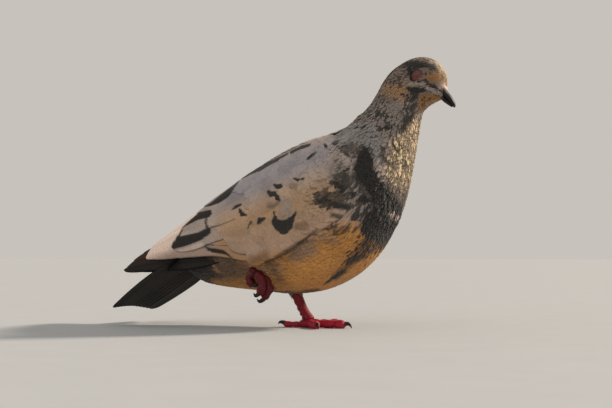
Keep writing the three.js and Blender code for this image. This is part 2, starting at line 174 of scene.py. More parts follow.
# ---- meshes
@dataclass
class Shape:
    """Points, faces and what the points carry, before they become a mesh.

    Attributes:
        points: Points in millimetres.
        smooth: Blocks of faces with equal counts of corners, smoothly shaded.
        colour: Linear RGB of each point.
        flat: Blocks of faces that are shaded flat, so that they don't bend the normals beside them.
        vane: Each point's place on its own feather, in millimetres.
        patch: Each point's place on the map that colours are baked to.
    """

    points: Array
    smooth: list[Array]
    colour: Array
    flat: list[Array] = field(default_factory=list)
    vane: Array | None = None
    patch: Array | None = None

    def mesh(self, name: str) -> Mesh:
        """The shape as a Blender mesh in metres, with its colours and maps.

        Args:
            name: The mesh's name.

        Returns:
            The new mesh.
        """
        made = bpy.data.meshes.new(name)
        blocks = self.smooth + self.flat
        corners = np.concatenate([block.ravel() for block in blocks]).astype(np.int32)
        sides = np.concatenate([np.full(len(block), block.shape[1]) for block in blocks])
        made.vertices.add(len(self.points))
        made.vertices.foreach_set("co", (self.points * MM).astype(np.float32).ravel())
        made.loops.add(len(corners))
        made.loops.foreach_set("vertex_index", corners)
        made.polygons.add(len(sides))
        made.polygons.foreach_set("loop_start", (np.cumsum(sides) - sides).astype(np.int32))
        made.update(calc_edges=True)
        shaded = np.zeros(len(sides), bool)
        shaded[: sum(len(block) for block in self.smooth)] = True
        made.polygons.foreach_set("use_smooth", shaded)
        rgba = np.pad(self.colour, ((0, 0), (0, 1)), constant_values=1)
        layer = made.color_attributes.new(name="plume", type="FLOAT_COLOR", domain="POINT")
        layer.data.foreach_set("color", rgba.astype(np.float32).ravel())
        for label, values in (("OFBake", self.patch), ("Vane", self.vane)):
            if values is not None:
                layer = made.uv_layers.new(name=label)
                layer.data.foreach_set("uv", values[corners].astype(np.float32).ravel())
        made.validate()
        return made


def grid_faces(rows: int, columns: int, closed: bool) -> Array:
    """Quads between neighbouring points of a grid whose points are numbered row by row.

    Args:
        rows: How many rows.
        columns: How many points in a row.
        closed: Whether the last column joins the first.

    Returns:
        Four point numbers per quad.
    """
    row, column = grid(np.arange(rows - 1), np.arange(columns if closed else columns - 1))
    a = (row * columns + column).ravel()
    b = (row * columns + (column + 1) % columns).ravel()
    return np.stack([a, b, b + columns, a + columns], axis=1)


def loft(rings: Array, colour: Array) -> Shape:
    """A closed body from rings of points, with a point in the middle of each end ring.

    Args:
        rings: Points by ring and place on the ring.
        colour: Linear RGB for each of them.

    Returns:
        The body, its faces turned outwards.
    """
    count, around = rings.shape[:2]
    points, colour = (
        np.concatenate([values.reshape(-1, 3), values[[0, -1]].mean(axis=1)]) for values in (rings, colour)
    )
    first = np.arange(around)
    after = (first + 1) % around
    last = (count - 1) * around
    pole = count * around
    quads = grid_faces(count, around, closed=True)
    ends = np.concatenate([
        np.stack([np.full(around, pole), after, first], axis=1),
        np.stack([np.full(around, pole + 1), last + first, last + after], axis=1),
    ])
    triangles = points[np.concatenate([quads[:, :3], quads[:, [0, 2, 3]], ends])]
    volume = dot(triangles[:, 0], np.cross(triangles[:, 1], triangles[:, 2])).sum()
    if volume < 0:
        quads, ends = quads[:, ::-1], ends[:, ::-1]
    return Shape(points, [quads, ends], colour)


def placed(name: str, data: ID) -> Object:
    """A new object of the scene, from its data."""
    made = bpy.data.objects.new(name, data)
    bpy.context.scene.collection.objects.link(made)
    return made


# ---- surfaces
@dataclass
class SheetFrame:
    """What a sheet is like at some of its points.

    Attributes:
        normal: Unit vectors out of the sheet.
        lie: How the two parameters change per millimetre with the lie of the feathers.
        beside: How they change per millimetre square to it.
    """

    normal: Array
    lie: Array
    beside: Array


class Sheet:
    """A smooth surface of two parameters that feathers lie on.

    flow is the way of the first parameter that runs with the lie, and outward the sign that turns the cross
    product of the two parameter directions out of the bird.
    """

    flow: int = 1
    outward: int = 1

    def at(self, along: Array, across: Array) -> Array:
        """The sheet's points at these parameters."""
        raise NotImplementedError

    def frame(self, along: Array, across: Array) -> SheetFrame:
        """Normals and parameter steps, from central differences and the sheet's metric.

        A unit step with the lie changes the first parameter alone. A unit step square to it is solved from
        the metric's three products, so that feathers aren't sheared where the parameter lines are askew.

        Args:
            along: First parameters.
            across: Second parameters.

        Returns:
            The frames there.
        """
        tiny = TINY_STEP
        first = (self.at(along + tiny, across) - self.at(along - tiny, across)) / (2 * tiny)
        second = (self.at(along, across + tiny) - self.at(along, across - tiny)) / (2 * tiny)
        normal = unit(np.cross(first, second)) * self.outward
        lie = unit(first) * self.flow
        beside = np.cross(normal, lie)
        e, f, g = dot(first, first), dot(first, second), dot(second, second)
        reach = dot(beside, second) / np.maximum(e * g - f * f, 1e-9)
        steps = np.stack([self.flow / np.sqrt(np.maximum(e, 1e-9)), np.zeros_like(e)], axis=-1)
        return SheetFrame(normal, steps, np.stack([-f * reach, e * reach], axis=-1))

    def heading(self, along: Array, across: Array, way: Array) -> Array:
        """The angle from the lie to a direction, seen square to the sheet.

        Args:
            along: First parameters.
            across: Second parameters.
            way: The direction, or one for each place.

        Returns:
            Angles in radians.
        """
        lie = unit(self.at(along + TINY_STEP, across) - self.at(along - TINY_STEP, across)) * self.flow
        beside = np.cross(self.frame(along, across).normal, lie)
        return np.arctan2(dot(beside, way), dot(lie, way))


class BodySheet(Sheet):
    """The body from the tail's root to the root of the bill.

    The first parameter is the number of the station, and the second the turn round it: 0 is the back, a
    quarter the left side and a half the underside. A section is an oval in the plane of its back and
    underside points: superellipse exponent 2.15.
    """

    flow = -1
    roundness = 2 / 2.15
    # Back x and z, underside x and z, and half the width, at each station.
    stations = np.array([
        [-92, 55, -89, 38, 11],
        [-80, 65, -79, 31.5, 17],
        [-66, 77, -67, 28.5, 22.5],
        [-47, 92, -50, 26.5, 28.5],
        [-26, 105.5, -31, 25, 34.5],
        [-6, 117, -9, 23.2, 39],
        [11, 127, 14, 26, 41.5],
        [23, 133, 33, 34, 42],
        [30, 136.5, 47, 45, 41],
        [34.5, 139.5, 57.5, 58.5, 38.5],
        [38, 142.5, 64.8, 73, 35.5],
        [41.3, 146, 70.6, 89, 31.5],
        [45.6, 149, 75, 105, 27],
        [50.2, 154.4, 77.8, 119, 23],
        [54.4, 161.2, 80, 130.5, 20],
        [58.6, 168.8, 82, 139.8, 17.4],
        [64.2, 175.4, 84.2, 146, 16.1],
        [71.6, 180.3, 88, 149.8, 15.2],
        [79.2, 183.4, 92.2, 152.2, 14.2],
        [86.8, 183.8, 95.4, 153.6, 13.1],
        [93.9, 181.2, 97.5, 154.4, 10.8],
        [98.9, 176.2, 98.9, 155, 8.1],
        [101.2, 170.6, 99.7, 155.6, 5.6],
        [100.9, 165.2, 99.9, 156.4, 4.3],
    ])
    last = 23

    def at(self, along: Array, across: Array) -> Array:
        """Points of the body, from its station numbers and turns."""
        back_x, back_z, under_x, under_z, half = np.moveaxis(through(self.stations, along), -1, 0)
        angle = 2 * np.pi * across
        share = (1 + signed_power(np.cos(angle), self.roundness)) / 2
        side = half * signed_power(np.sin(angle), self.roundness)
        return xyz(lerp(under_x, back_x, share), side, lerp(under_z, back_z, share))


class WingSheet(Sheet):
    """The outer face of a folded wing, or of the blade of primaries under it.

    The first parameter is the number of the station from the wrist back, and the second runs over the back
    (0) and down the flank (1), as one cubic Bezier curve from the upper edge to the lower.
    """

    # x, then y and z of the upper edge, then y and z of the lower edge.
    shield = np.array([
        [50, 37, 103, 38, 96.5],
        [47.5, 35.8, 115, 39.6, 87],
        [41, 31.6, 125.4, 42, 77.5],
        [29, 20.6, 131.4, 43.6, 70],
        [15, 9, 132.5, 43.8, 63.6],
        [0, 5, 129.2, 42.4, 56.6],
        [-15, 4, 123.3, 39.8, 50.6],
        [-30, 3.6, 115.6, 36.6, 47.2],
        [-45, 3.6, 107.2, 33, 48.6],
        [-60, 3.6, 98, 28.8, 49.8],
        [-75, 3.8, 88.6, 24.8, 48.4],
        [-90, 4, 78.2, 21.2, 47],
        [-105, 4.4, 68, 18.4, 45.9],
        [-117, 6, 60, 15.6, 46.6],
    ])
    blade = np.array([
        [-54, 24.6, 55, 26, 46],
        [-64, 22.6, 55.5, 23.6, 42.6],
        [-78, 19.4, 57, 20.8, 40],
        [-93, 14.6, 58, 18, 38.8],
        [-108, 9.4, 58.5, 15.4, 38.4],
        [-120, 6.4, 56.4, 13.4, 38.4],
        [-131, 6.6, 50.2, 11.6, 38.6],
        [-138, 7.4, 44.4, 10.4, 38.8],
        [-142.5, 7.6, 40.8, 9.8, 39],
    ])

    def __init__(self, side: Side, stations: Array) -> None:
        """A wing's face.

        Args:
            side: The bird's side.
            stations: The rows of the shield or of the blade.
        """
        self.side = side
        self.outward = -side.value
        self.stations = stations

    def at(self, along: Array, across: Array) -> Array:
        """Points of the wing's face.

        Past the face's edges they are carried straight on, but past the shield's upper one they stay level.

        Args:
            along: Station numbers.
            across: Shares of the way from the upper edge to the lower.

        Returns:
            The points.
        """
        x, top_y, top_z, low_y, low_z = np.moveaxis(through(self.stations, along), -1, 0)
        inside = np.clip(across, 0, 1)
        beyond = across - inside
        rest = 1 - inside
        weights = (rest**3, 3 * inside * rest**2, 3 * inside**2 * rest, inside**3)
        slopes = (-3 * rest**2, 3 * rest * (1 - 3 * inside), 3 * inside * (2 - 3 * inside), 3 * inside**2)
        reach, drop = low_y - top_y, top_z - low_z
        ys = (top_y, top_y + 0.62 * reach, low_y + 0.06 * reach, low_y)
        zs = (top_z, top_z - 0.08 * drop, low_z + 0.52 * drop, low_z)
        y = sum((weight + beyond * slope) * value for weight, slope, value in zip(weights, slopes, ys))
        lower = np.maximum(beyond, 0) if self.stations is self.shield else beyond
        z = sum((weight + lower * slope) * value for weight, slope, value in zip(weights, slopes, zs))
        return xyz(x, self.side.value * y, z)


class TailSheet(Sheet):
    """The face of the tail: a slightly fanned plate, crowned, and leaning with its right edge up.

    The first parameter is the share of the tail's length, and the second runs from its right edge (-1) to
    its left (1). face is 1 for the top and -1 for the underside.
    """

    root = np.array([-74.0, 0, 53])
    tip = np.array([-139.5, 0, 13.4])
    half = (24.0, 30.0)
    roll = (0.4, 0.07)
    thick = 1.6

    def __init__(self, face: int) -> None:
        """The tail's top (1) or underside (-1)."""
        self.face = face
        self.outward = -face

    def at(self, along: Array, across: Array) -> Array:
        """Points of the tail's face."""
        length = along * (1.01 - 0.05 * across**2)
        y = across * lerp(*self.half, length)
        lift = 1.6 * np.sin(np.pi * np.clip(along, 0, 1)) - 0.0022 * y * y
        roll = lerp(*self.roll, length)
        middle = self.root + (self.tip - self.root) * length[..., None]
        depth = 0 if self.face > 0 else self.thick * lerp(1.4, 0.5, along)
        z = middle[..., 2] + lift - depth - y * np.sin(roll)
        return xyz(middle[..., 0], y * np.cos(roll), z)


class MantleSheet(Sheet):
    """The mantle: the low ridge of feathers that closes the back between the wings.

    The first parameter is the number of the station from the neck back, and the second runs from its right
    edge (-1) to its left (1). A section is a shallow parabola.
    """

    outward = -1
    sag = 2.0
    # x, height of the crest, and half the width, at each station.
    stations = np.array([
        [36, 140.6, 14],
        [30, 137.4, 14],
        [23, 135.2, 14],
        [15, 132.8, 13],
        [0, 129.2, 12],
        [-15, 123.2, 11],
        [-30, 115.4, 10],
        [-45, 107, 8],
        [-58, 99.2, 6],
        [-72, 89.6, 5],
        [-86, 80, 4.6],
        [-98, 71.8, 4.4],
    ])

    def at(self, along: Array, across: Array) -> Array:
        """Points of the mantle."""
        x, crest, half = np.moveaxis(through(self.stations, along), -1, 0)
        return xyz(x, half * across, crest - self.sag * across**2)


class LimbSheet(Sheet):
    """A tube along a smooth path, such as a shank: the first parameter is the share of the path and the
    second the turn round it. Its side directions are square to the path and to one given direction.
    """

    def __init__(self, path: Path, radii: Sequence[float], square_to: Sequence[float]) -> None:
        """A tube.

        Args:
            path: Points of its middle line.
            radii: Its radius at even steps along it.
            square_to: A direction that the path never takes.
        """
        self.path = np.array(path, float)
        self.radii = np.array(radii, float)[:, None]
        self.square_to = np.array(square_to, float)

    def at(self, along: Array, across: Array) -> Array:
        """Points of the tube's wall."""
        station = along * (len(self.path) - 1)
        centre = through(self.path, station)
        heading = unit(through(self.path, station + TINY_STEP) - through(self.path, station - TINY_STEP))
        side = unit(np.cross(np.broadcast_to(self.square_to, heading.shape), heading))
        up = np.cross(heading, side)
        radius = through(self.radii, np.clip(along, 0, 1) * (len(self.radii) - 1))
        angle = 2 * np.pi * across[..., None]
        return centre + radius * (side * np.cos(angle) + up * np.sin(angle))


BODY_SHEET = BodySheet()


# ---- markings
class Tone(Enum):
    """The colours of the plumage in sRGB, some of them painted light."""

    WING = "#b0a198"
    TAN = "#ad885f"
    # Painted sunlight: the pinkish white that pale feathers show where the sun falls on them.
    LIT = "#f6dece"
    ROSE = "#b9aaa2"
    OCHRE = "#a8763c"
    # Partly painted light: the belly's own mild buff, warmed by painted light reflected from the floor.
    HONEY = "#c38842"
    AMBER = "#a87533"
    CREAM = "#e4cba6"
    MAUVE = "#8f857e"
    SLATE = "#8f8c8a"
    LILAC = "#8f8e98"
    DUSK = "#85756a"
    DRAB = "#6d5440"
    UMBER = "#3f342d"
    CHARCOAL = "#2f2d2c"

    @property
    def linear(self) -> Array:
        """The colour in linear RGB."""
        return linear(self.value)


@dataclass(frozen=True)
class Mark:
    """A streak of colour on the plumage, as it lies on the bird's right side.

    Attributes:
        tone: Its colour.
        soft: The width of its fading edge, in millimetres.
        strength: How much of what is under it is hidden.
        path: Its x, z and half-width at each bend, in millimetres.
    """

    tone: Tone
    soft: float
    strength: float
    path: tuple[tuple[float, float, float], ...]

    def cover(self, x: Array, z: Array) -> Array:
        """How much the mark hides at each place.

        It is whole within its half-width of the line through its bends, and fades over its soft edge. Places
        outside its box are skipped.

        Args:
            x: Places along the bird.
            z: Heights.

        Returns:
            Shares from 0 to the mark's strength.
        """
        shown = np.zeros(x.shape)
        bends = np.array(self.path)
        reach = bends[:, 2].max() + self.soft
        low, high = bends[:, :2].min(axis=0) - reach, bends[:, :2].max(axis=0) + reach
        near = (x > low[0]) & (x < high[0]) & (z > low[1]) & (z < high[1])
        x, z = x[near], z[near]
        beyond = np.full(x.shape, np.inf)
        for (x0, z0, half0), (x1, z1, half1) in zip(self.path, self.path[1:]):
            dx, dz = x1 - x0, z1 - z0
            share = np.clip(((x - x0) * dx + (z - z0) * dz) / (dx * dx + dz * dz), 0, 1)
            away = np.hypot(x - x0 - share * dx, z - z0 - share * dz)
            beyond = np.minimum(beyond, away - lerp(half0, half1, share))
        shown[near] = self.strength * (1 - ease(beyond, -self.soft / 2, self.soft / 2))
        return shown


def mark(tone: Tone, soft: float, strength: float, *path: tuple[float, float, float]) -> Mark:
    """A mark, with its bends as the last arguments."""
    return Mark(tone, soft, strength, path)


def area(soft: float, strength: float, *path: tuple[float, float, float]) -> Mark:
    """A mark whose cover alone counts, because its whole table is of one kind."""
    return Mark(Tone.CHARCOAL, soft, strength, path)


# In all these tables a mark gives its soft edge and strength, then x, z and half-width at each bend.
# The ground colour, laid on in this order over the wing's own, with painted light in some of its marks.
GROUND = (
    # Partly painted cool skylight: the lilac high on the wing.
    mark(Tone.LILAC, 14, 0.7, (-50, 92, 8), (-28, 100, 12), (0, 112, 9), (24, 118, 7)),
    # Partly painted warm light reflected from the floor: the tan and the ochre low on the wing.
    mark(Tone.TAN, 24, 0.75, (-45, 70, 10), (0, 80, 14), (34, 92, 10)),
    mark(Tone.OCHRE, 18, 0.4, (-40, 55, 6), (0, 60, 9), (34, 72, 9)),
    # Partly painted warm light reflected from the floor: the honey of the belly.
    mark(Tone.HONEY, 12, 0.95, (-38, 34, 12), (10, 38, 16), (40, 52, 17), (60, 62, 10)),
    mark(Tone.DRAB, 5, 0.9, (-70, 36, 11), (-50, 36, 11), (-36, 35, 9)),
    mark(Tone.UMBER, 8, 0.95, (-98, 42, 14), (-70, 42, 14)),
    # Partly painted warm light reflected from the floor: the golden rim low on the vent.
    mark(Tone.HONEY, 5, 0.85, (-66, 31, 2), (-56, 29, 4), (-36, 28, 7)),
    # Painted sunlight: the tertials' lower strip, in the secondaries' sunlit tone.
    mark(Tone.LIT, 3, 0.6, (-94, 51.5, 2.5), (-80, 53, 3.5), (-69, 56, 3)),
    mark(Tone.MAUVE, 10, 0.9, (36, 108, 7), (46, 100, 10), (50, 88, 9)),
    mark(Tone.MAUVE, 8, 1, (52, 152, 14), (66, 140, 15), (58, 126, 10)),
    mark(Tone.SLATE, 6, 0.9, (38, 130, 9), (52, 130, 8), (61, 121, 6), (62, 111, 2.5)),
    mark(Tone.ROSE, 5, 0.8, (71, 121, 6), (67, 107, 7), (68, 98, 5)),
    # Partly painted sunlight: the neck front's cream is partly its own pale colour and partly the sun on it.
    mark(Tone.CREAM, 4.5, 0.95, (84, 142, 1.5), (81.5, 133, 5), (80, 121, 10.5), (78.5, 105, 12),
        (78, 96, 8)),
    mark(Tone.DUSK, 6, 0.7, (74, 92, 5), (72, 80, 4)),
    mark(Tone.DUSK, 6, 1, (68, 164, 12), (84, 168, 15)),
    mark(Tone.TAN, 5, 0.6, (64, 161, 4), (72, 160, 6), (76, 155, 3)),
    mark(Tone.AMBER, 3, 0.25, (72, 159, 2), (76, 160, 2)),
    # Painted sunlight: the pale rim along the crown and the forehead.
    mark(Tone.CREAM, 3.5, 0.9, (80, 184.5, 2), (92, 183.5, 2.5), (99, 178, 3), (102.5, 170, 2.2),
        (103, 164, 1.5)),
    mark(Tone.AMBER, 5, 0.75, (92, 168.5, 1.8), (98, 168, 3.4)),
    mark(Tone.AMBER, 3.5, 0.85, (85, 148, 1.5), (88, 153.5, 2.6), (96, 155, 2.2)),
    mark(Tone.ROSE, 1.2, 0.8, (91.5, 160.5, 1.1), (97, 158.5, 1.2)),
    mark(Tone.ROSE, 1, 0.5, (80, 163.5, 1.1), (89.5, 163.5, 1)),
)

# Soft clouds over the ground, grey and brown, and a painted shadow line under the wing.
CLOUDS = (
    mark(Tone.MAUVE, 1.6, 0.65, (1, 83.5, 5), (1.2, 79.5, 5.8)),
    mark(Tone.DUSK, 1.6, 0.5, (-6.5, 85.5, 1.8), (-13.5, 84, 2)),
    mark(Tone.SLATE, 2, 0.5, (8.5, 103, 1.8), (11, 104, 1.8)),
    mark(Tone.DRAB, 2, 0.5, (4.5, 96, 2.2), (7.5, 95.5, 2.2)),
    mark(Tone.DRAB, 2, 0.6, (11, 69, 2.4), (16.5, 69, 3.2)),
    mark(Tone.DUSK, 6, 0.65, (5, 49, 4.4), (18, 55, 5.2)),
    mark(Tone.MAUVE, 6, 0.35, (-26, 39, 3), (-8, 42, 4)),
    mark(Tone.DUSK, 5, 0.45, (24, 62, 1.5), (34, 60, 3.5)),
    mark(Tone.UMBER, 1.4, 0.45, (-4.5, 85.5, 1.2), (-8, 82.5, 1.8), (-13, 82, 1.2)),
    mark(Tone.UMBER, 2, 0.8, (-22, 25, 1), (-3, 24, 1.2), (12, 26.5, 1)),
    # Painted shadow: the dark line on the body just under the wing's lower edge.
    mark(Tone.UMBER, 1.2, 0.75, (-18, 44.5, 0.4), (-8, 48.5, 0.9), (0, 52.5, 1.1), (8, 56.8, 1.1),
        (16, 61.5, 0.9), (22, 65, 0.4)),
    mark(Tone.TAN, 1, 0.7, (-61, 46, 1.2), (-60, 42.5, 1.8), (-58, 39.5, 1)),
    mark(Tone.DRAB, 6, 0.75, (-25, 46, 2.5), (-14, 50, 2.5), (-12, 42, 3), (-10, 33, 2.5)),
    mark(Tone.UMBER, 3, 0.75, (26, 34, 1.2), (36, 41.5, 1.8), (45, 50, 2.4), (54, 58, 4)),
    mark(Tone.UMBER, 5, 0.85, (62, 66, 6), (61.5, 57, 5.5), (56, 48.5, 2.5)),
)

# Dark marks on the wing, crisp because each lies on one large feather or on its edge.
WING_MARKS = (
    # the horseshoe on one large covert
    area(0.7, 1, (-7.2, 79, 0.6), (-7.6, 76.5, 1.2), (-7.2, 74, 2), (-6, 72.2, 2.7), (-3.4, 69.9, 3.9),
        (0.4, 68.4, 4.7), (4.2, 70.2, 3.8), (6.4, 72.8, 2.4), (8, 75.2, 1.4), (9.2, 77.8, 0.5)),
    # the hook, the spot and the small crescents of the coverts
    area(0.7, 1, (-15.5, 93, 1), (-12, 91, 2), (-8.5, 91, 1.8), (-6, 88.5, 1.6), (-4, 86.5, 0.8)),
    area(0.7, 1, (-10, 97.5, 1), (-6, 96, 1.8), (-3.5, 95.5, 0.8)),
    area(0.7, 1, (5, 101.5, 0.4), (9, 100, 0.8), (14, 101, 0.6)),
    area(0.7, 1, (14, 115, 1), (16, 117, 1.3), (19, 118.5, 0.8)),
    area(0.7, 1, (24.5, 124.5, 1), (27.5, 122, 0.8)),
    area(0.7, 1, (-43.5, 82, 0.6), (-41, 83.5, 1.3), (-37, 85, 1)),
    area(0.7, 1, (-37, 81.5, 1), (-34.5, 78.5, 1.8), (-30.5, 77.5, 0.6)),
    area(0.7, 1, (-15, 75, 0.6), (-19, 73.5, 2.1), (-20.5, 71.5, 0.8)),
    area(0.7, 0.9, (-26.5, 73, 0.9), (-28, 68, 0.5)),
    # the broken line along the upper edge
    area(0.7, 1, (10, 125.2, 1.2), (3, 123.8, 2), (-4, 121, 1.4)),
    area(0.7, 1, (-8, 119.6, 1.1), (-16, 116, 1.9), (-23, 113.2, 2.4), (-30, 110.6, 2.4),
        (-37, 108.4, 1.8), (-45, 104.4, 0.9)),
    # the wedges of the tertials
    area(0.7, 1, (-48, 101.5, 1.2), (-53, 94, 4), (-59.5, 90, 3.4), (-67, 86.6, 1.6), (-74, 85, 0.4)),
    area(0.7, 1, (-65.5, 79.5, 2.8), (-76, 78.2, 3), (-84, 74, 1.8), (-88.8, 71, 0.9), (-90, 66.5, 1),
        (-93, 60.5, 2), (-97.3, 55.3, 0.3)),
    area(0.7, 1, (-63, 67.2, 2.6), (-71, 63.4, 3.2), (-81, 61.2, 3.8), (-89, 59.8, 4), (-94, 57, 2.2)),
    # Painted shadow: the grey line along a feather's edge under the lower wedges.
    area(1, 0.7, (-61.5, 69.5, 0.9), (-53, 71, 0.5), (-40, 75, 0.3)),
    area(0.8, 0.9, (-67, 78, 0.9), (-66.8, 73.5, 0.9), (-64.5, 68.5, 1.7)),
    # the lower edge
    area(0.7, 1, (-66, 56.5, 0.6), (-62.5, 54.5, 1.1), (-57.5, 53.5, 1.8), (-49.5, 52.5, 1.4),
        (-46, 51, 0.8), (-42, 48.5, 0.5)),
    area(0.7, 0.9, (-64.5, 57.5, 0.5), (-57.5, 57.5, 0.5)),
)

# Dark marks on the body, broken up because they fall on many small feathers.
COAT_MARKS = (
    # the band down the side of the breast
    area(2.6, 1, (54, 119.5, 3), (54, 113.5, 5.6), (54, 106.5, 6.2), (57.5, 101, 6), (60.5, 95, 5.6),
        (63, 90, 6.2), (64.5, 83.5, 6), (64, 77.5, 6), (61.5, 72, 8.4), (58.5, 67, 8.2), (57, 63.5, 5)),
    area(1.2, 0.9, (19, 30.2, 0.3), (27, 34.6, 0.9), (34, 39, 1.2)),
    area(1.4, 0.8, (38, 44.5, 1.6), (44, 48, 2.2)),
    # the mottles beside it, and the dark front of the wing
    area(4, 0.5, (42, 120, 3.6), (52, 116.5, 4.4)),
    area(1.6, 0.7, (36.5, 100.5, 1.2), (40, 108.5, 0.8)),
    area(2, 0.9, (45.5, 100.5, 1.6), (51, 97, 2.6)),
    area(2.4, 0.98, (36, 97, 1.6), (40, 93.5, 2.4), (49, 88, 2.8), (56, 86, 2.6)),
    area(2.4, 0.98, (22, 84, 1), (31, 86.5, 2.6), (37, 83, 2.6), (45, 80, 2.2)),
    area(1.6, 0.8, (35.5, 76, 1.8), (40.5, 75, 1.4)),
    area(1.4, 0.85, (32, 67, 1.8), (37, 69, 1.5)),
    area(1.4, 0.8, (36.5, 64.5, 1.3), (40, 67, 1.1)),
    area(1.8, 0.95, (47, 72.5, 1.4), (53.5, 79.5, 2.4), (58, 86, 2.6)),
    area(1.2, 0.85, (32, 124.5, 1.4), (36, 121.5, 1)),
    # the largest flecks of the neck
    area(0.7, 1, (45, 134.5, 0.5), (48.5, 135, 0.7)),
    area(0.7, 1, (50.5, 134, 0.5), (53.5, 137, 0.6)),
    area(0.7, 1, (53, 131, 0.5), (58, 131.5, 0.4)),
    area(0.7, 1, (57, 127.5, 0.6), (61, 128, 0.4)),
    area(1, 1, (63, 132, 0.9), (65.5, 134.5, 1.1), (70, 134, 0.8)),
    area(0.7, 1, (58, 138.5, 0.5), (61, 140, 0.4)),
    area(1, 0.9, (70.5, 124, 0.7), (72.5, 121.5, 0.8), (73.5, 118, 0.9)),
    area(1.2, 0.75, (65.5, 118.5, 1.1), (65.5, 114.5, 1.6), (67.5, 112, 1.3), (70.5, 107.5, 1)),
    area(1, 0.9, (75.5, 112.5, 0.7), (75.5, 109.5, 0.9)),
    # the crown, and the dark rim round the eye
    area(1.8, 0.95, (73, 179.4, 1.2), (80, 178.2, 2.4), (87, 177.2, 2.2), (92, 175.8, 1.6),
        (96, 173.4, 0.9)),
    area(0.9, 0.85, (100.4, 160.5, 0.7), (101.4, 157.5, 1)),
    area(0.7, 0.9, (72.5, 177, 0.5), (76, 175.5, 0.6), (78.5, 177, 0.5)),
    area(1.3, 1, (79, 176, 1.7), (80, 172.5, 1.8), (80.3, 169, 1.8), (81.3, 165.8, 1.2)),
    area(1, 1, (82.5, 174.8, 1), (85.5, 175.8, 1.5), (89, 175.4, 0.9)),
    area(0.6, 1, (84.5, 164.9, 0.45), (87, 165.1, 0.5), (90.4, 166.4, 0.4)),
    # the line from the eye to the bill, and the cheek
    area(0.8, 0.95, (91, 165, 0.9), (93, 163, 1.1), (95.5, 162, 1.1), (97.5, 160, 0.9), (99.6, 159, 0.9)),
    area(1, 1, (78.5, 160.8, 0.9), (82, 159.6, 1.9), (85.5, 159.4, 2), (88.5, 159.6, 1.5),
        (90.3, 159.8, 0.5)),
    area(1.8, 0.9, (83.5, 157.5, 2), (82.4, 154, 2)),
    area(1.6, 0.85, (83.5, 151, 1), (80.5, 148.5, 1.8), (81, 144.5, 0.8)),
    area(1.2, 0.8, (77.5, 147.5, 0.9), (78.5, 143.5, 1)),
    area(1.8, 0.85, (80, 142, 1.4), (78.2, 139, 2.2), (76.5, 135, 1.6), (75.5, 131, 0.7)),
    area(0.7, 0.7, (90.5, 153.5, 0.8), (92.5, 154.5, 0.5)),
    area(0.5, 0.85, (90.5, 159.4, 0.3), (92.5, 159, 0.4), (94, 157.5, 0.5), (97.5, 156, 0.3)),
    area(0.7, 0.85, (90.6, 170.6, 0.6), (91, 169.4, 0.6)),
    area(0.7, 0.75, (93, 171.2, 0.6), (93.6, 170.4, 0.5)),
    area(0.7, 0.8, (94.5, 176, 0.7), (96.4, 175.3, 0.5)),
    area(0.7, 0.7, (99.8, 171.5, 0.3), (100.4, 168.8, 0.6), (100.2, 166, 0.3)),
    # the nape and the side of the upper neck
    # Painted shade: the dark outline of the nape.
    area(2.6, 0.85, (76, 182, 1.4), (68, 177, 1.8), (61, 170, 1.8), (52, 158, 1.4)),
    area(0.7, 0.85, (71.5, 171, 0.8), (72, 168.5, 0.8)),
    area(0.7, 0.85, (69, 166.5, 0.6), (71.5, 165, 0.6), (74, 164, 0.4)),
    area(0.7, 0.9, (75.5, 157, 1), (77.5, 155.5, 0.9)),
    area(0.7, 0.9, (70.8, 153, 0.9), (72.5, 154, 0.5)),
)

# Pale tufts that show through the dark ones.
TUFTS = (
    area(1.2, 1, (65.5, 77.5, 0.8), (66.5, 75, 1.3)),
    area(0.8, 0.8, (44, 101.5, 0.4), (47.5, 97.5, 0.9)),
    area(0.8, 0.8, (37, 92.5, 0.5), (42.5, 90.5, 0.9), (46, 91.5, 0.4)),
    area(0.8, 0.8, (46, 84.5, 0.5), (50, 87, 0.9), (53.5, 90.5, 0.5)),
    area(0.8, 0.8, (51, 77, 0.4), (54.5, 82, 0.9), (57, 84, 0.4)),
)

# Where single small feathers are dark, with the share of them that are.
FLECKS = (
    area(6, 0.5, (46, 146, 7), (58, 149, 7.5), (63, 138, 6)),
    area(6, 0.7, (80, 138, 7), (77.5, 118, 12.5), (76, 92, 11)),
    area(6, 0.36, (70, 168, 8), (80, 174, 6)),
    area(3, 0.45, (82, 154, 4), (79, 146, 5), (76, 136, 4)),
    area(3, 0.5, (72, 182, 3), (94, 182, 3)),
    area(3, 0.3, (95, 176, 2.5), (98, 172, 2)),
    area(3, 0.3, (88, 153, 2.5), (80, 150, 3)),
    area(4, 0.74, (27, 86, 5), (44, 91, 13), (57, 78, 9)),
    area(4, 0.35, (40, 47, 4), (56, 60, 5)),
    area(5, 0.2, (34, 68, 4), (48, 68, 5)),
    area(4, 0.62, (42, 120, 5), (54, 116, 5)),
)

# Where the feathers stand up loosely, on the front of the neck.
RUFFLE = area(6, 1, (84, 146, 3), (80, 128, 9), (76, 108, 16), (73, 86, 11))


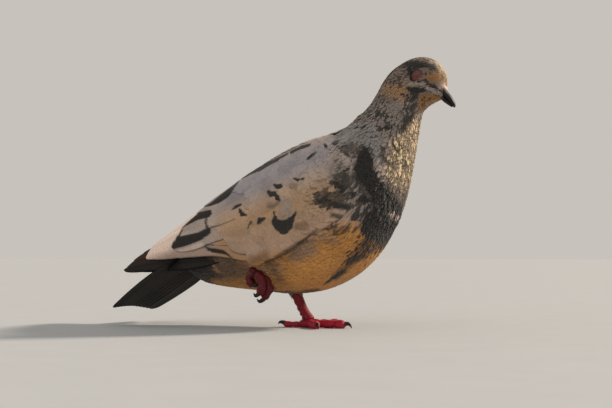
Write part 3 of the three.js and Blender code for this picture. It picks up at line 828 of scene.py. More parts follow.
class Markings:
    """The plumage's colours as functions of the place on the bird, for skin and feathers alike."""

    @staticmethod
    def home(points: Array) -> Array:
        """Places to look the marks up at.

        On the left the marks are the right side's, moved and stretched a little, growing with the distance
        from the midline, so that both sides match on the back but aren't mirror images.

        Args:
            points: Points in millimetres.

        Returns:
            Points on the right side's drawing.
        """
        share = ease(points[..., 1], 2, 16) * ease(-points[..., 2], -166, -148)
        moved = points.copy()
        moved[..., 0] += share * (4.5 + 2.5 * np.sin(points[..., 2] / 13))
        moved[..., 2] += share * (-3 + 3 * np.sin(points[..., 0] / 17))
        return moved

    @staticmethod
    def most(marks: Sequence[Mark], points: Array) -> Array:
        """The strongest of some marks at each place."""
        found = np.zeros(points.shape[:-1])
        for mark in marks:
            found = np.maximum(found, mark.cover(points[..., 0], points[..., 2]))
        return found

    def fleck_share(self, points: Array) -> Array:
        """The share of small feathers that are dark at each place, which noise gathers into groups."""
        return self.most(FLECKS, points) * (0.35 + 1.3 * value_noise(points, 5, 5))

    def ruffle(self, points: Array) -> Array:
        """How loosely the feathers stand at each place."""
        return RUFFLE.cover(points[..., 0], points[..., 2])

    @staticmethod
    def under_wing(points: Array) -> Array:
        """How far inside a folded wing's lower edge each place is, where the wing's own marks don't reach."""
        rows = WingSheet.shield[::-1]
        x, y, z = points[..., 0], np.abs(points[..., 1]), points[..., 2]
        low_y, low_z = (np.interp(x, rows[:, 0], rows[:, column]) for column in (3, 4))
        return ease(low_y - y, 2, 3.5) * ease(low_z + 9 - z, 0, 3) * (x > -95)

    def paint(self, points: Array, wander: Values = 0.0, fleck: Values = 0.0) -> Array:
        """The plumage's colour: its ground, then clouds and dark marks over it.

        The ground and the clouds vary by a tenth with noise. The marks of the wing keep off the midline of
        the back.

        Args:
            points: Points in millimetres.
            wander: How far the marks are moved at each point, so that they break at feather edges.
            fleck: How dark a point is through its feather alone.

        Returns:
            Linear RGB for each point.
        """
        home = self.home(points)
        home[..., 0] += wander
        home[..., 2] += 0.7 * wander
        colour = np.broadcast_to(Tone.WING.linear, points.shape)
        under = self.under_wing(points)
        drab = lerp(Tone.DRAB.linear, Tone.CHARCOAL.linear, ease(-points[..., 0], 56, 68)[..., None])
        for marks in (GROUND, CLOUDS):
            for mark in marks:
                colour = lerp(colour, mark.tone.linear, mark.cover(home[..., 0], home[..., 2])[..., None])
            if marks is GROUND:
                share = 0.85 * under * ease(-points[..., 0], 25, 45) * ease(points[..., 2], 31, 41)
                colour = lerp(colour, drab, share[..., None])
        colour = colour * (0.88 + 0.24 * value_noise(points, 8, 3))[..., None]
        wing = self.most(WING_MARKS, home) * ease(np.abs(points[..., 1]), 1.5, 4) * (1 - under)
        coat = self.most(COAT_MARKS, home) * (1 - self.most(TUFTS, home))
        dark = np.maximum(np.maximum(wing, coat), fleck * (1 - self.most(TUFTS, home)))[..., None]
        return lerp(colour, Tone.CHARCOAL.linear, dark)


MARKINGS = Markings()


# ---- feathers
@dataclass(frozen=True)
class VaneCut:
    """How one kind of feather is cut and faceted.

    Attributes:
        rows: Points along it.
        columns: Points across it.
        full: The share of its length where its tip begins to round off.
        base: Its width at the root, as a share of its full width.
        thick: How thick it is in its middle, in millimetres.
        camber: How far its middle stands over its edges, as a share of its half-width.
    """

    rows: int = 6
    columns: int = 3
    full: float = 0.5
    base: float = 0.45
    thick: float = 0.12
    camber: float = 0.16

    def shares(self) -> Array:
        """Places along the feather, closer together towards the tip."""
        return 1 - (1 - np.linspace(0, 1, self.rows)) ** 1.35

    def outline(self, share: Array) -> Array:
        """The half-width along the feather, from a widening root to a tip rounded as a quarter ellipse."""
        tip = np.clip((share - self.full) / (1 - self.full), 0, 1)
        return np.maximum(0.05, lerp(self.base, 1, ease(share, 0, 0.45)) * np.sqrt(1 - tip**2))

    def faces(self) -> tuple[int, Array, Array]:
        """One feather's faces: a top grid, and an under grid that shares the rim of the top.

        Returns:
            How many points a feather has, the top's quads and the underside's.
        """
        top = np.arange(self.rows * self.columns).reshape(self.rows, self.columns)
        under = top.copy()
        inner = (self.rows - 2, self.columns - 2)
        under[1:-1, 1:-1] = top.size + np.arange(inner[0] * inner[1]).reshape(inner)
        quads = grid_faces(self.rows, self.columns, closed=False)
        return top.size + inner[0] * inner[1], quads, under.ravel()[quads][:, ::-1]


SMALL = VaneCut(thick=0.07, camber=0.12)
TINY = VaneCut(rows=5, camber=0.12, thick=0.06)
LESSER = VaneCut(rows=8, columns=5, thick=0.06, camber=0.06)
MEDIAN = VaneCut(rows=18, columns=11, full=0.62, base=0.55, thick=0.1, camber=0.05)
COVERT = VaneCut(rows=9, columns=5, full=0.62, base=0.55, thick=0.12, camber=0.06)
SECONDARY = VaneCut(rows=56, columns=13, full=0.93, base=0.6, thick=0.3, camber=0.07)
PRIMARY = VaneCut(rows=22, columns=9, full=0.6, base=0.65, thick=0.4, camber=0.07)
RECTRIX = VaneCut(rows=22, columns=9, full=0.93, base=0.5, thick=0.4, camber=0.06)
TERTIAL = VaneCut(rows=64, columns=21, full=0.7, base=0.5, thick=0.2, camber=0.06)


@dataclass
class Feathers:
    """Many feathers of one cut on one sheet, all worked out at once.

    Attributes:
        sheet: What they lie on.
        cut: Their cut.
        along: The first parameter of each root.
        across: The second parameter of each root.
        length: Their lengths in millimetres.
        half: Half their widths.
        sink: How far under the sheet their roots are.
        rise: How far under the sheet their tips are.
        heading: How far each turns from the lie, in radians.
        bend: How much further it has turned at its tip.
        tilt: How far the edge that lies across stands over the other, per half-width.
        slant: How far that edge reaches past the shaft at the tip, per half-width.
        seed: Their own random numbers.
        cells: Whether each has a cell of the bake map to itself, as a few large feathers do.
    """

    sheet: Sheet
    cut: VaneCut
    along: Array
    across: Array
    length: Array
    half: Array
    sink: Values
    rise: Values
    heading: Values = 0.0
    bend: Values = 0.0
    tilt: Values = 0.0
    slant: Values = 0.0
    seed: int = 1
    cells: bool = False

    def __post_init__(self) -> None:
        """Gives every feather a number of its own for each size."""
        count = len(self.along)
        for name in ("length", "half", "sink", "rise", "heading", "bend", "tilt", "slant"):
            value = np.asarray(getattr(self, name), float)
            setattr(self, name, np.broadcast_to(value, (count,)).copy())

    def walk(self) -> tuple[Array, Array, Array]:
        """The feathers' middle lines, walked over the sheet in short steps, in parameters.

        Returns:
            Places by feather and row, and there the steps of one millimetre across and along the feather.
        """
        shares = self.cut.shares()
        spot = np.stack([self.along, self.across], axis=-1).astype(float)
        line, square, ahead = [], [], []
        for share, step in zip(shares, np.diff(shares, append=1.0)):
            here = self.sheet.frame(spot[:, 0], spot[:, 1])
            angle = (self.heading + self.bend * share)[:, None]
            line.append(spot)
            square.append(np.cos(angle) * here.beside - np.sin(angle) * here.lie)
            ahead.append(np.cos(angle) * here.lie + np.sin(angle) * here.beside)
            spot = spot + (self.length * step)[:, None] * ahead[-1]
        return np.stack(line, axis=1), np.stack(square, axis=1), np.stack(ahead, axis=1)

    def shape(self, paint: Callable[[Array, Array, Array, np.random.Generator], Array]) -> Shape:
        """Lays the feathers.

        Each feather's points are offset across its middle line by its outline, and lifted along the normal
        from root to tip, by the camber and by the tilt. The underside is the top sunk by the thickness.

        Args:
            paint: Gives linear RGB from points, share along, place across (-1 to 1) and random numbers.

        Returns:
            All the feathers as one shape.
        """
        cut, rng = self.cut, np.random.default_rng(self.seed)
        shares, places = cut.shares(), np.linspace(-1, 1, cut.columns)
        middle, sideways, forward = (steps[:, :, None, :] for steps in self.walk())
        out = cut.outline(shares)[None, :, None] * places[None, None, :] * self.half[:, None, None]
        past = self.slant[:, None, None] * out * ease(shares, 0.5, 1)[None, :, None]
        where = middle + sideways * out[..., None] + forward * past[..., None]
        flat = self.sheet.at(where[..., 0], where[..., 1])
        normal = self.sheet.frame(where[..., 0], where[..., 1]).normal
        rise = -lerp(self.sink[:, None], self.rise[:, None], shares[None, :] ** 0.8)[:, :, None]
        crown = cut.camber * (1 - places**2)[None, None, :] * self.half[:, None, None]
        lean = self.tilt[:, None, None] * out
        top = flat + normal * (rise + crown + lean - cut.camber * self.half[:, None, None])[..., None]
        under = (top - normal * cut.thick)[:, 1:-1, 1:-1]
        colour = paint(top, *grid(shares, places), rng)
        along_mm = shares[None, :, None] * self.length[:, None, None] + 0 * out
        vane = np.stack([out + 0 * along_mm, along_mm], axis=-1)
        return self.joined(top, under, colour, vane, self.patches(shares, places))

    def patches(self, shares: Array, places: Array) -> Array:
        """Each point's place on the bake map.

        A small feather is a patch about 0.003 across, at its root's place on the sheet's two parameters. A
        few large feathers have a cell each of a square table.

        Args:
            shares: Places along a feather.
            places: Places across it.

        Returns:
            Map places by feather, row and column.
        """
        local = np.stack(grid(shares, (places + 1) / 2), axis=-1)[None]
        count = len(self.along)
        if self.cells:
            wide = math.ceil(math.sqrt(count))
            corner = np.stack([np.arange(count) % wide, np.arange(count) // wide], axis=-1)
            return (corner[:, None, None] + 0.04 + 0.92 * local) / wide
        roots = np.stack([self.along, self.across], axis=-1)
        low, high = roots.min(axis=0), roots.max(axis=0)
        even = 0.01 + 0.975 * (roots - low) / np.maximum(high - low, 1e-9)
        return even[:, None, None] + 0.003 * local

    def joined(self, top: Array, under: Array, colour: Array, vane: Array, patch: Array) -> Shape:
        """All feathers' points and faces in one shape.

        Args:
            top: Points of the tops.
            under: Points of the undersides, without their rims.
            colour: Colours of the tops.
            vane: Places on the feathers.
            patch: Places on the bake map.

        Returns:
            The joined shape.
        """
        count = len(top)
        each, quads, lower = self.cut.faces()

        def packed(values: Array, below: Array | None = None) -> Array:
            """Top values, then the inner ones again for the underside."""
            inner = values[:, 1:-1, 1:-1] if below is None else below
            width = values.shape[-1]
            both = [values.reshape(count, -1, width), inner.reshape(count, -1, width)]
            return np.concatenate(both, axis=1).reshape(-1, width)

        offsets = (np.arange(count) * each)[:, None, None]
        faces = [(block[None] + offsets).reshape(-1, 4) for block in (quads, lower)]
        points = packed(top, under)
        first = points[faces[0][: len(quads)]]
        facing = np.cross(first[:, 1] - first[:, 0], first[:, 3] - first[:, 0]).sum(axis=0)
        outwards = (top[0, 1:-1, 1:-1] - under[0]).sum(axis=(0, 1))
        if dot(facing, outwards) < 0:
            faces = [block[:, ::-1] for block in faces]
        return Shape(points, [faces[0]], packed(colour), [faces[1]], packed(vane), packed(patch))


def aimed(
    sheet: Sheet, cut: VaneCut, roots: Array, tips: Array, bend: Values = 0.0, **sizes: Values,
) -> Feathers:
    """Large feathers from their roots and tips on a sheet.

    The way from each root towards its tip on the sheet gives the feather's heading, and the sum of short
    steps along it gives its length. Both are then put right by how far the walked line misses the tip.

    Args:
        sheet: What they lie on.
        cut: Their cut.
        roots: The two parameters of each root.
        tips: The two parameters of each tip.
        bend: How much further they turn towards their tips.
        sizes: The other fields of Feathers.

    Returns:
        The feathers.
    """
    line = sheet.at(*np.moveaxis(lerp(roots, tips, np.linspace(0, 1, 40)[:, None, None]), -1, 0))
    length = np.linalg.norm(np.diff(line, axis=0), axis=-1).sum(axis=0)
    heading = sheet.heading(roots[:, 0], roots[:, 1], line[12] - line[0]) - np.asarray(bend) / 2
    made = Feathers(sheet, cut, *roots.T, length, heading=heading, bend=bend, cells=True, **sizes)
    for _ in range(5):
        end = made.walk()[0][:, -1]
        miss = line[-1] - sheet.at(end[:, 0], end[:, 1])
        off = sheet.heading(end[:, 0], end[:, 1], miss) - made.heading - made.bend
        away = np.linalg.norm(miss, axis=-1)
        made.length += away * np.cos(off)
        made.heading += away * np.sin(off) / made.length
    return made


# One over the plastic number, and over its square: steps that spread points evenly over a square.
EVEN_STEPS = (0.7548776662, 0.5698402910)


def scatter(
    sheet: Sheet, along: tuple[float, float], across: tuple[float, float],
    spacing: Callable[[Array], Array] | float, seed: int,
) -> tuple[Array, Array]:
    """Roots spread evenly over part of a sheet, closer where the spacing is smaller.

    The sheet's area over the squared spacing is summed on a fine grid. A low-discrepancy sequence of two
    irrational steps is then carried through the sums, first along the sheet and then across it.

    Args:
        sheet: The sheet.
        along: The range of its first parameter.
        across: The range of its second parameter.
        spacing: The distance between roots in millimetres, or a function that gives it from the first
            parameter.
        seed: Random numbers for a slight jitter.

    Returns:
        The roots' two parameters.
    """
    us, vs = np.linspace(*along, 241), np.linspace(*across, 181)
    p = sheet.at(*grid(us, vs))
    cells = np.linalg.norm(np.cross(p[1:, :-1] - p[:-1, :-1], p[:-1, 1:] - p[:-1, :-1]), axis=-1)
    pitch = spacing((us[1:] + us[:-1]) / 2)[:, None] if callable(spacing) else spacing
    weight = cells / pitch**2
    count = int(weight.sum())
    rows = np.concatenate([[0], np.cumsum(weight.sum(axis=1))])
    index = np.arange(1, count + 1)
    rng = np.random.default_rng(seed)
    first, second = (
        (index * step + rng.normal(0, 0.1, count) / math.sqrt(count)) % 1 for step in EVEN_STEPS
    )
    out_along = np.interp(first * rows[-1], rows, us)
    row = np.clip(np.searchsorted(us, out_along) - 1, 0, len(us) - 2)
    sums = np.concatenate([np.zeros((len(weight), 1)), np.cumsum(weight, axis=1)], axis=1)
    sums = sums / sums[:, -1:]
    ladder = (sums + np.arange(len(sums))[:, None] * 2).ravel()
    spot = np.clip(np.searchsorted(ladder, second + row * 2) - 1, 0, ladder.size - 2)
    column = np.clip(spot - row * len(vs), 0, len(vs) - 2)
    low, high = sums[row, column], sums[row, column + 1]
    share = (second - low) / np.maximum(high - low, 1e-12)
    return out_along, vs[column] + share * (vs[1] - vs[0])


Paint = Callable[[Array, Array, Array, np.random.Generator], Array]


def coat_paint(dim: float = 1.0, gather: float = 0.75, streak: float = 0.0) -> Paint:
    """The colour of small feathers.

    Every feather has its own slight brightness. It takes the marks mostly from the place of its tip, and
    moves them a little, so that their edges are the edges of feathers. Some are dark by the fleck share at
    their place: whole, or along the shaft alone where the coat is loose. A feather is a little darker at its
    root, and where the coat is loose much darker: this is painted shade, under the feathers that overlap it
    and in the gaps between loose ones.

    Args:
        dim: A factor on all of it.
        gather: How much of the colour's place is the tip's.
        streak: How much darker the middle of each feather is than its edges.

    Returns:
        A function for Feathers.shape.
    """

    def paint(points: Array, share: Array, place: Array, rng: np.random.Generator) -> Array:
        """Linear RGB for each point of each feather."""
        count = len(points)
        tip = points[:, -2, points.shape[2] // 2]
        home = MARKINGS.home(tip)
        loose = MARKINGS.ruffle(home)[:, None, None]
        dark = (rng.random(count) < MARKINGS.fleck_share(home)) * rng.uniform(0.75, 1.0, count)
        paler = lerp(0.3 * place**2, np.abs(place), loose)
        fleck = dark[:, None, None] * ease(share, 0.05, 0.35) * (1 - paler)
        wander = rng.normal(0, 0.45, count)[:, None, None] * (gather > 0.5)
        colour = MARKINGS.paint(lerp(points, tip[:, None, None], gather), wander, fleck)
        # Painted shade: darker towards the root, much darker where the coat is loose.
        shade = lerp(0.93 + 0.07 * share, 0.42 + 0.62 * share, loose)
        bright = rng.normal(1, 0.05, count)[:, None, None] * (shade - streak * (1 - np.abs(place)))
        return np.clip(colour * (dim * bright)[..., None], 0, 1)

    return paint


def web_paint(colour: Callable[[Array], Array], shaft: float) -> Paint:
    """The colour of large feathers: their ground, each a little different, with a shaft and darker edges.

    Args:
        colour: Linear RGB from points.
        shaft: A factor on the colour of the shaft.

    Returns:
        A function for Feathers.shape.
    """

    def paint(points: Array, share: Array, place: Array, rng: np.random.Generator) -> Array:
        """Linear RGB for each point of each feather."""
        bright = rng.normal(1, 0.05, len(points))[:, None, None]
        line = lerp(shaft, 1, ease(np.abs(place), 0.02, 0.2))[None]
        edge = 1 - 0.12 * ease(np.abs(place), 0.8, 1)[None]
        return np.clip(colour(points) * (bright * line * edge)[..., None], 0, 1)

    return paint


# ---- finishes
def add_node(
    tree: NodeTree, kind: str, settings: dict | None = None, links: dict | None = None,
) -> Node:
    """Adds a node with its settings and links.

    Args:
        tree: The material's nodes.
        kind: The node's type.
        settings: Properties by name, or values of inputs by name or number.
        links: Sockets to join, by the name or number of the input that each goes to.

    Returns:
        The node.
    """
    node = tree.nodes.new(kind)
    for name, value in (settings or {}).items():
        if isinstance(name, str) and hasattr(node, name):
            setattr(node, name, value)
        else:
            node.inputs[name].default_value = value
    for name, socket in (links or {}).items():
        tree.links.new(socket, node.inputs[name])
    return node


@dataclass(frozen=True)
class Finish:
    """What all finishes share: a Principled shader with constants on its own sockets."""

    name: str
    roughness: float
    specular: float = 0.5
    sheen: float = 0.0
    coat: float = 0.0
    subsurface: float = 0.0
    relief: float = 0.3

    def start(self) -> tuple[Material, NodeTree]:
        """A material with its shader set, before its pattern is added.

        Returns:
            The material and its nodes.
        """
        made = bpy.data.materials.new(self.name)
        made.use_nodes = True
        tree = made.node_tree
        shader = tree.nodes["Principled BSDF"]
        values = {
            "Roughness": self.roughness,
            "Specular IOR Level": self.specular,
            "Sheen Weight": self.sheen,
            "Sheen Roughness": 0.45,
            "Coat Weight": self.coat,
            "Coat Roughness": 0.06,
            "Subsurface Weight": self.subsurface,
            "Subsurface Scale": 0.002,
        }
        for socket, value in values.items():
            shader.inputs[socket].default_value = value
        shader.inputs["Subsurface Radius"].default_value = (1.0, 0.35, 0.2)
        return made, tree

    def dress(
        self, tree: NodeTree, grain: Node, height: NodeSocket, deep: float, span: tuple[float, float],
    ) -> None:
        """Lays the point colours on the shader, varied by noise, over a relief.

        Args:
            tree: The material's nodes.
            grain: The noise.
            height: What gives the relief.
            deep: The relief's depth in millimetres.
            span: The least and the greatest factor on the colours.
        """
        shader = tree.nodes["Principled BSDF"]
        ground = {"Strength": self.relief, "Distance": deep * MM}
        bump = add_node(tree, "ShaderNodeBump", ground, {"Height": height})
        plume = add_node(tree, "ShaderNodeVertexColor", {"layer_name": "plume"})
        ends = {"From Min": 0.3, "From Max": 0.7, "To Min": span[0], "To Max": span[1]}
        shade = add_node(tree, "ShaderNodeMapRange", ends, {"Value": grain.outputs["Fac"]})
        scaled = {0: plume.outputs[0], "Scale": shade.outputs[0]}
        tone = add_node(tree, "ShaderNodeVectorMath", {"operation": "SCALE"}, scaled)
        tree.links.new(tone.outputs[0], shader.inputs["Base Color"])
        tree.links.new(bump.outputs[0], shader.inputs["Normal"])


@dataclass(frozen=True)
class FeatherFinish(Finish):
    """Feather keratin in open barbs: matt, with a faint silky sheen, and ribbed by its barbs.

    Barbs are about 0.1 mm apart, too fine to show, so they are drawn 0.7 mm apart, slanting from the shaft.
    """

    barb_mm: float = 0.7
    slant: float = 0.9

    def build(self) -> Material:
        """The material.

        The barbs are a sine of the distance along the feather less a share of the distance from its shaft,
        both from the Vane map in millimetres. Noise varies their height and the colour.
        """
        made, tree = self.start()
        vane = add_node(tree, "ShaderNodeUVMap", {"uv_map": "Vane"})
        axes = add_node(tree, "ShaderNodeSeparateXYZ", links={0: vane.outputs[0]})
        away = add_node(tree, "ShaderNodeMath", {"operation": "ABSOLUTE"}, {0: axes.outputs[0]})
        lean = {"operation": "MULTIPLY_ADD", 1: -self.slant}
        slanted = add_node(tree, "ShaderNodeMath", lean, {0: away.outputs[0], 2: axes.outputs[1]})
        per_barb = {"operation": "MULTIPLY", 1: 2 * math.pi / self.barb_mm}
        phase = add_node(tree, "ShaderNodeMath", per_barb, {0: slanted.outputs[0]})
        ribs = add_node(tree, "ShaderNodeMath", {"operation": "SINE"}, {0: phase.outputs[0]})
        place = add_node(tree, "ShaderNodeTexCoord")
        fine = {"Scale": 700.0, "Detail": 3.0}
        grain = add_node(tree, "ShaderNodeTexNoise", fine, {"Vector": place.outputs["Object"]})
        low = {"operation": "MULTIPLY_ADD", 1: 0.35}
        height = add_node(tree, "ShaderNodeMath", low, {0: ribs.outputs[0], 2: grain.outputs["Fac"]})
        self.dress(tree, grain, height.outputs[0], 0.12, (0.86, 1.12))
        return made


@dataclass(frozen=True)
class SkinFinish(Finish):
    """Bare or downy skin, horn and cere: the point colours, mottled and pitted by fine noise."""

    grain_mm: float = 1.2
    mottle: float = 0.12

    def build(self) -> Material:
        """The material: noise of one grain size gives both the slight mottling and the relief."""
        made, tree = self.start()
        place = add_node(tree, "ShaderNodeTexCoord")
        pits = {"Scale": 1 / (self.grain_mm * MM), "Detail": 4.0}
        grain = add_node(tree, "ShaderNodeTexNoise", pits, {"Vector": place.outputs["Object"]})
        self.dress(tree, grain, grain.outputs["Fac"], 0.2, (1 - self.mottle, 1 + self.mottle))
        return made


@dataclass(frozen=True)
class ScaleFinish(SkinFinish):
    """Leathery skin of the feet in small flat scales, with creases between them."""

    scale_mm: float = 1.1

    def build(self) -> Material:
        """The material: the skin's, with cells of a Voronoi pattern raised between their creases."""
        made = super().build()
        tree = made.node_tree
        normal = tree.nodes["Principled BSDF"].inputs["Normal"]
        place = add_node(tree, "ShaderNodeTexCoord")
        plates = {"feature": "DISTANCE_TO_EDGE", "Scale": 1 / (self.scale_mm * MM)}
        cells = add_node(tree, "ShaderNodeTexVoronoi", plates, {"Vector": place.outputs["Object"]})
        rim = {"Value": cells.outputs["Distance"]}
        raised = add_node(tree, "ShaderNodeMapRange", {"From Max": 0.18}, rim)
        under = {"Height": raised.outputs[0], "Normal": normal.links[0].from_socket}
        bump = add_node(tree, "ShaderNodeBump", {"Strength": 0.5, "Distance": 0.00018}, under)
        tree.links.new(bump.outputs[0], normal)
        return made


@dataclass(frozen=True)
class Finishes:
    """The materials of the whole bird, each built once."""

    contour: Material
    flight: Material
    skin: Material
    scales: Material
    horn: Material
    cere: Material
    lid: Material
    eye: Material

    @classmethod
    def made(cls) -> "Finishes":
        """Builds every material."""
        return cls(
            # Contour feathers: soft barbs scatter light, so the coat is matt with a faint bloom at its edges.
            contour=FeatherFinish(
                "contour_feather_keratin", roughness=0.78, specular=0.22, sheen=0.12, relief=0.35,
            ).build(),
            # Flight feathers: barbs hooked into a firm web, a little glossier, with plainer ribs.
            flight=FeatherFinish("flight_feather_keratin", roughness=0.6, specular=0.12, relief=0.4).build(),
            # Downy skin under the coat: quite matt, seen only in the gaps.
            skin=SkinFinish("downy_skin", roughness=0.9, specular=0.15).build(),
            # Foot skin: thin horny scales over red skin, so light goes in a little and creases stay soft.
            scales=ScaleFinish(
                "foot_scale_keratin", roughness=0.45, specular=0.3, subsurface=0.06, mottle=0.2,
            ).build(),
            # Bill and claws: solid keratin, satin, with very fine grain.
            horn=SkinFinish(
                "bill_keratin", roughness=0.42, specular=0.22, grain_mm=0.6, mottle=0.15, relief=0.12,
            ).build(),
            # Cere: swollen skin under powdery bloom.
            cere=SkinFinish(
                "powdered_cere_skin", roughness=0.7, specular=0.3, subsurface=0.1, grain_mm=0.5, relief=0.4,
            ).build(),
            # Lids: thin bare skin, finely creased.
            lid=SkinFinish("bare_lid_skin", roughness=0.5, subsurface=0.1, grain_mm=0.4, relief=0.4).build(),
            # Eye: wet cornea over a coloured iris, so its gloss is a clear coat.
            eye=SkinFinish(
                "cornea_and_iris", roughness=0.35, coat=0.15, grain_mm=0.5, mottle=0.15, relief=0.0,
            ).build(),
        )


# ---- body
@dataclass
class Assembly:
    """A part of the bird, with the materials that its pieces take."""

    finishes: Finishes

    def put(self, name: str, shape: Shape, finish: Material, slot: str, *replaces: str) -> None:
        """Adds a finished piece to the model.

        Args:
            name: The piece's name.
            shape: Its shape.
            finish: Its material.
            slot: The record's material slot for the piece; not used.
            replaces: The CAD nodes that it stands for.
        """
        piece = placed(name, shape.mesh(name))
        piece.data.materials.append(finish)
        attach(piece, BODY)
        if replaces:
            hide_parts(*replaces)
        triangles = sum(len(block) * (block.shape[1] - 2) for block in shape.smooth + shape.flat)
        LOG.info("%s: %d triangles", name, triangles)


@dataclass
class Eyes(Assembly):
    """Both eyes: ball, lids and the hollow that they sit in, with sizes in millimetres."""

    x: float = 85.2
    y: float = 8.6
    z: float = 169.2
    ball: float = 5.8
    opening: float = 3.5
    pupil: float = 1.35
    droop: float = 1.1
    lift: float = 0.5

    def reach(self, points: Array) -> Array:
        """How far points are from the line through both eyes."""
        return np.hypot(points[..., 0] - self.x, points[..., 2] - self.z)

    def hollow(self, points: Array) -> Array:
        """Points of the head drawn in round the eyes.

        Inside the opening the skin lies a millimetre under the ball. Outside it that depth fades away over
        three millimetres.

        Args:
            points: Points of the skin.

        Returns:
            The moved points.
        """
        away = self.reach(points)
        under_lid = np.minimum(away, self.opening + 0.9)
        ball = self.y + np.sqrt(self.ball**2 - under_lid**2)
        # Past the fade no point is as far out as this limit, so the skin stays where it is.
        free = 40
        most = ball - 1.0 + free * ease(away, self.opening + 0.2, self.opening + 3.2)
        moved = points.copy()
        moved[..., 1] = np.sign(points[..., 1]) * np.minimum(np.abs(points[..., 1]), most)
        return moved

    def build(self) -> None:
        """Makes the ball and the lids of each eye."""
        for side in Side:
            ball = self.ball_shape(side)
            self.put(f"eyeball_{side.label}", ball, self.finishes.eye, "eye", f"eye_{side.label}")
            self.put(f"eyelids_{side.label}", self.lid_shape(side), self.finishes.lid, "leg_scales")

    def ball_shape(self, side: Side) -> Shape:
        """The ball: a sphere of rings round the axis across the head, coloured by ring as pupil and iris."""
        polar = np.concatenate([np.linspace(0.02, 0.8, 34), np.linspace(0.86, math.pi - 0.05, 22)])
        a, b = grid(polar, FULL_TURN * turns(48))
        bulge = self.ball * (1 + 0.045 * np.exp(-((a / 0.35) ** 2)))
        out = self.ball * np.sin(a)
        rings = self.ring(out, b, side.value * (self.y + bulge * np.cos(a)))
        away = out + 100 * (a > 1.5)
        iris = mix("#6b2a1e", "#521f17", ease(away, 2.0, 3.4))
        iris = iris * (0.8 + 0.4 * value_noise(xyz(b * 6, away * 0.3, 0), 1.0, 9))[..., None]
        return loft(rings, mix("#46221a", iris, ease(away, self.pupil, self.pupil + 0.3)))

    def ring(self, away: Array, turn: Array, y: Array) -> Array:
        """Points at a distance from the line through both eyes, and at a turn round it."""
        return xyz(self.x + away * np.cos(turn), y, self.z + away * np.sin(turn))

    def lid_shape(self, side: Side) -> Shape:
        """The lids: a ring whose section is an oval, wider above, where the upper lid droops over the ball.

        The first parameter is the turn round the eye and the second the turn round the section. The rim
        follows the ball, and the droop moves the upper part of the inner edge down.
        """
        turn, round_ = grid(np.linspace(0, FULL_TURN, 73), FULL_TURN * turns(12))
        upper = np.clip(np.sin(turn), 0, 1) ** 1.5
        lower = np.clip(-np.sin(turn), 0, 1) ** 1.5
        inner = self.opening - 0.1 - self.droop * upper - self.lift * lower
        outer = self.opening + 1.0
        middle, half = (inner + outer) / 2, (outer - inner) / 2
        away = middle - half * np.cos(round_)
        ball = self.y + np.sqrt(np.maximum(self.ball**2 - away**2, 0.01))
        height = ball + 0.12 + 0.38 * np.sin(round_)
        colour = mix("#6e443a", "#2c2422", ease(away, inner + 0.3, inner + 0.8))
        return ring_shape(self.ring(away, turn, side.value * height), colour)


def ring_shape(rings: Array, colour: Array) -> Shape:
    """A closed tube whose first and last rings are the same ring.

    Args:
        rings: Points by ring and place on the ring, the last ring repeating the first.
        colour: Linear RGB for each point.

    Returns:
        The tube, its faces turned outwards.
    """
    rings, colour = rings[:-1], colour[:-1]
    count, around = rings.shape[:2]
    quads = grid_faces(count, around, closed=True)
    seam = grid_faces(2, around, closed=True)
    seam = np.where(seam < around, seam + (count - 1) * around, seam - around)
    quads = np.concatenate([quads, seam])
    points = rings.reshape(-1, 3)
    a, b, c, d = np.moveaxis(points[quads], 1, 0)
    volume = dot(a, np.cross(b, c) + np.cross(c, d)).sum()
    if volume < 0:
        quads = quads[:, ::-1]
    return Shape(points, [quads], colour.reshape(-1, 3))


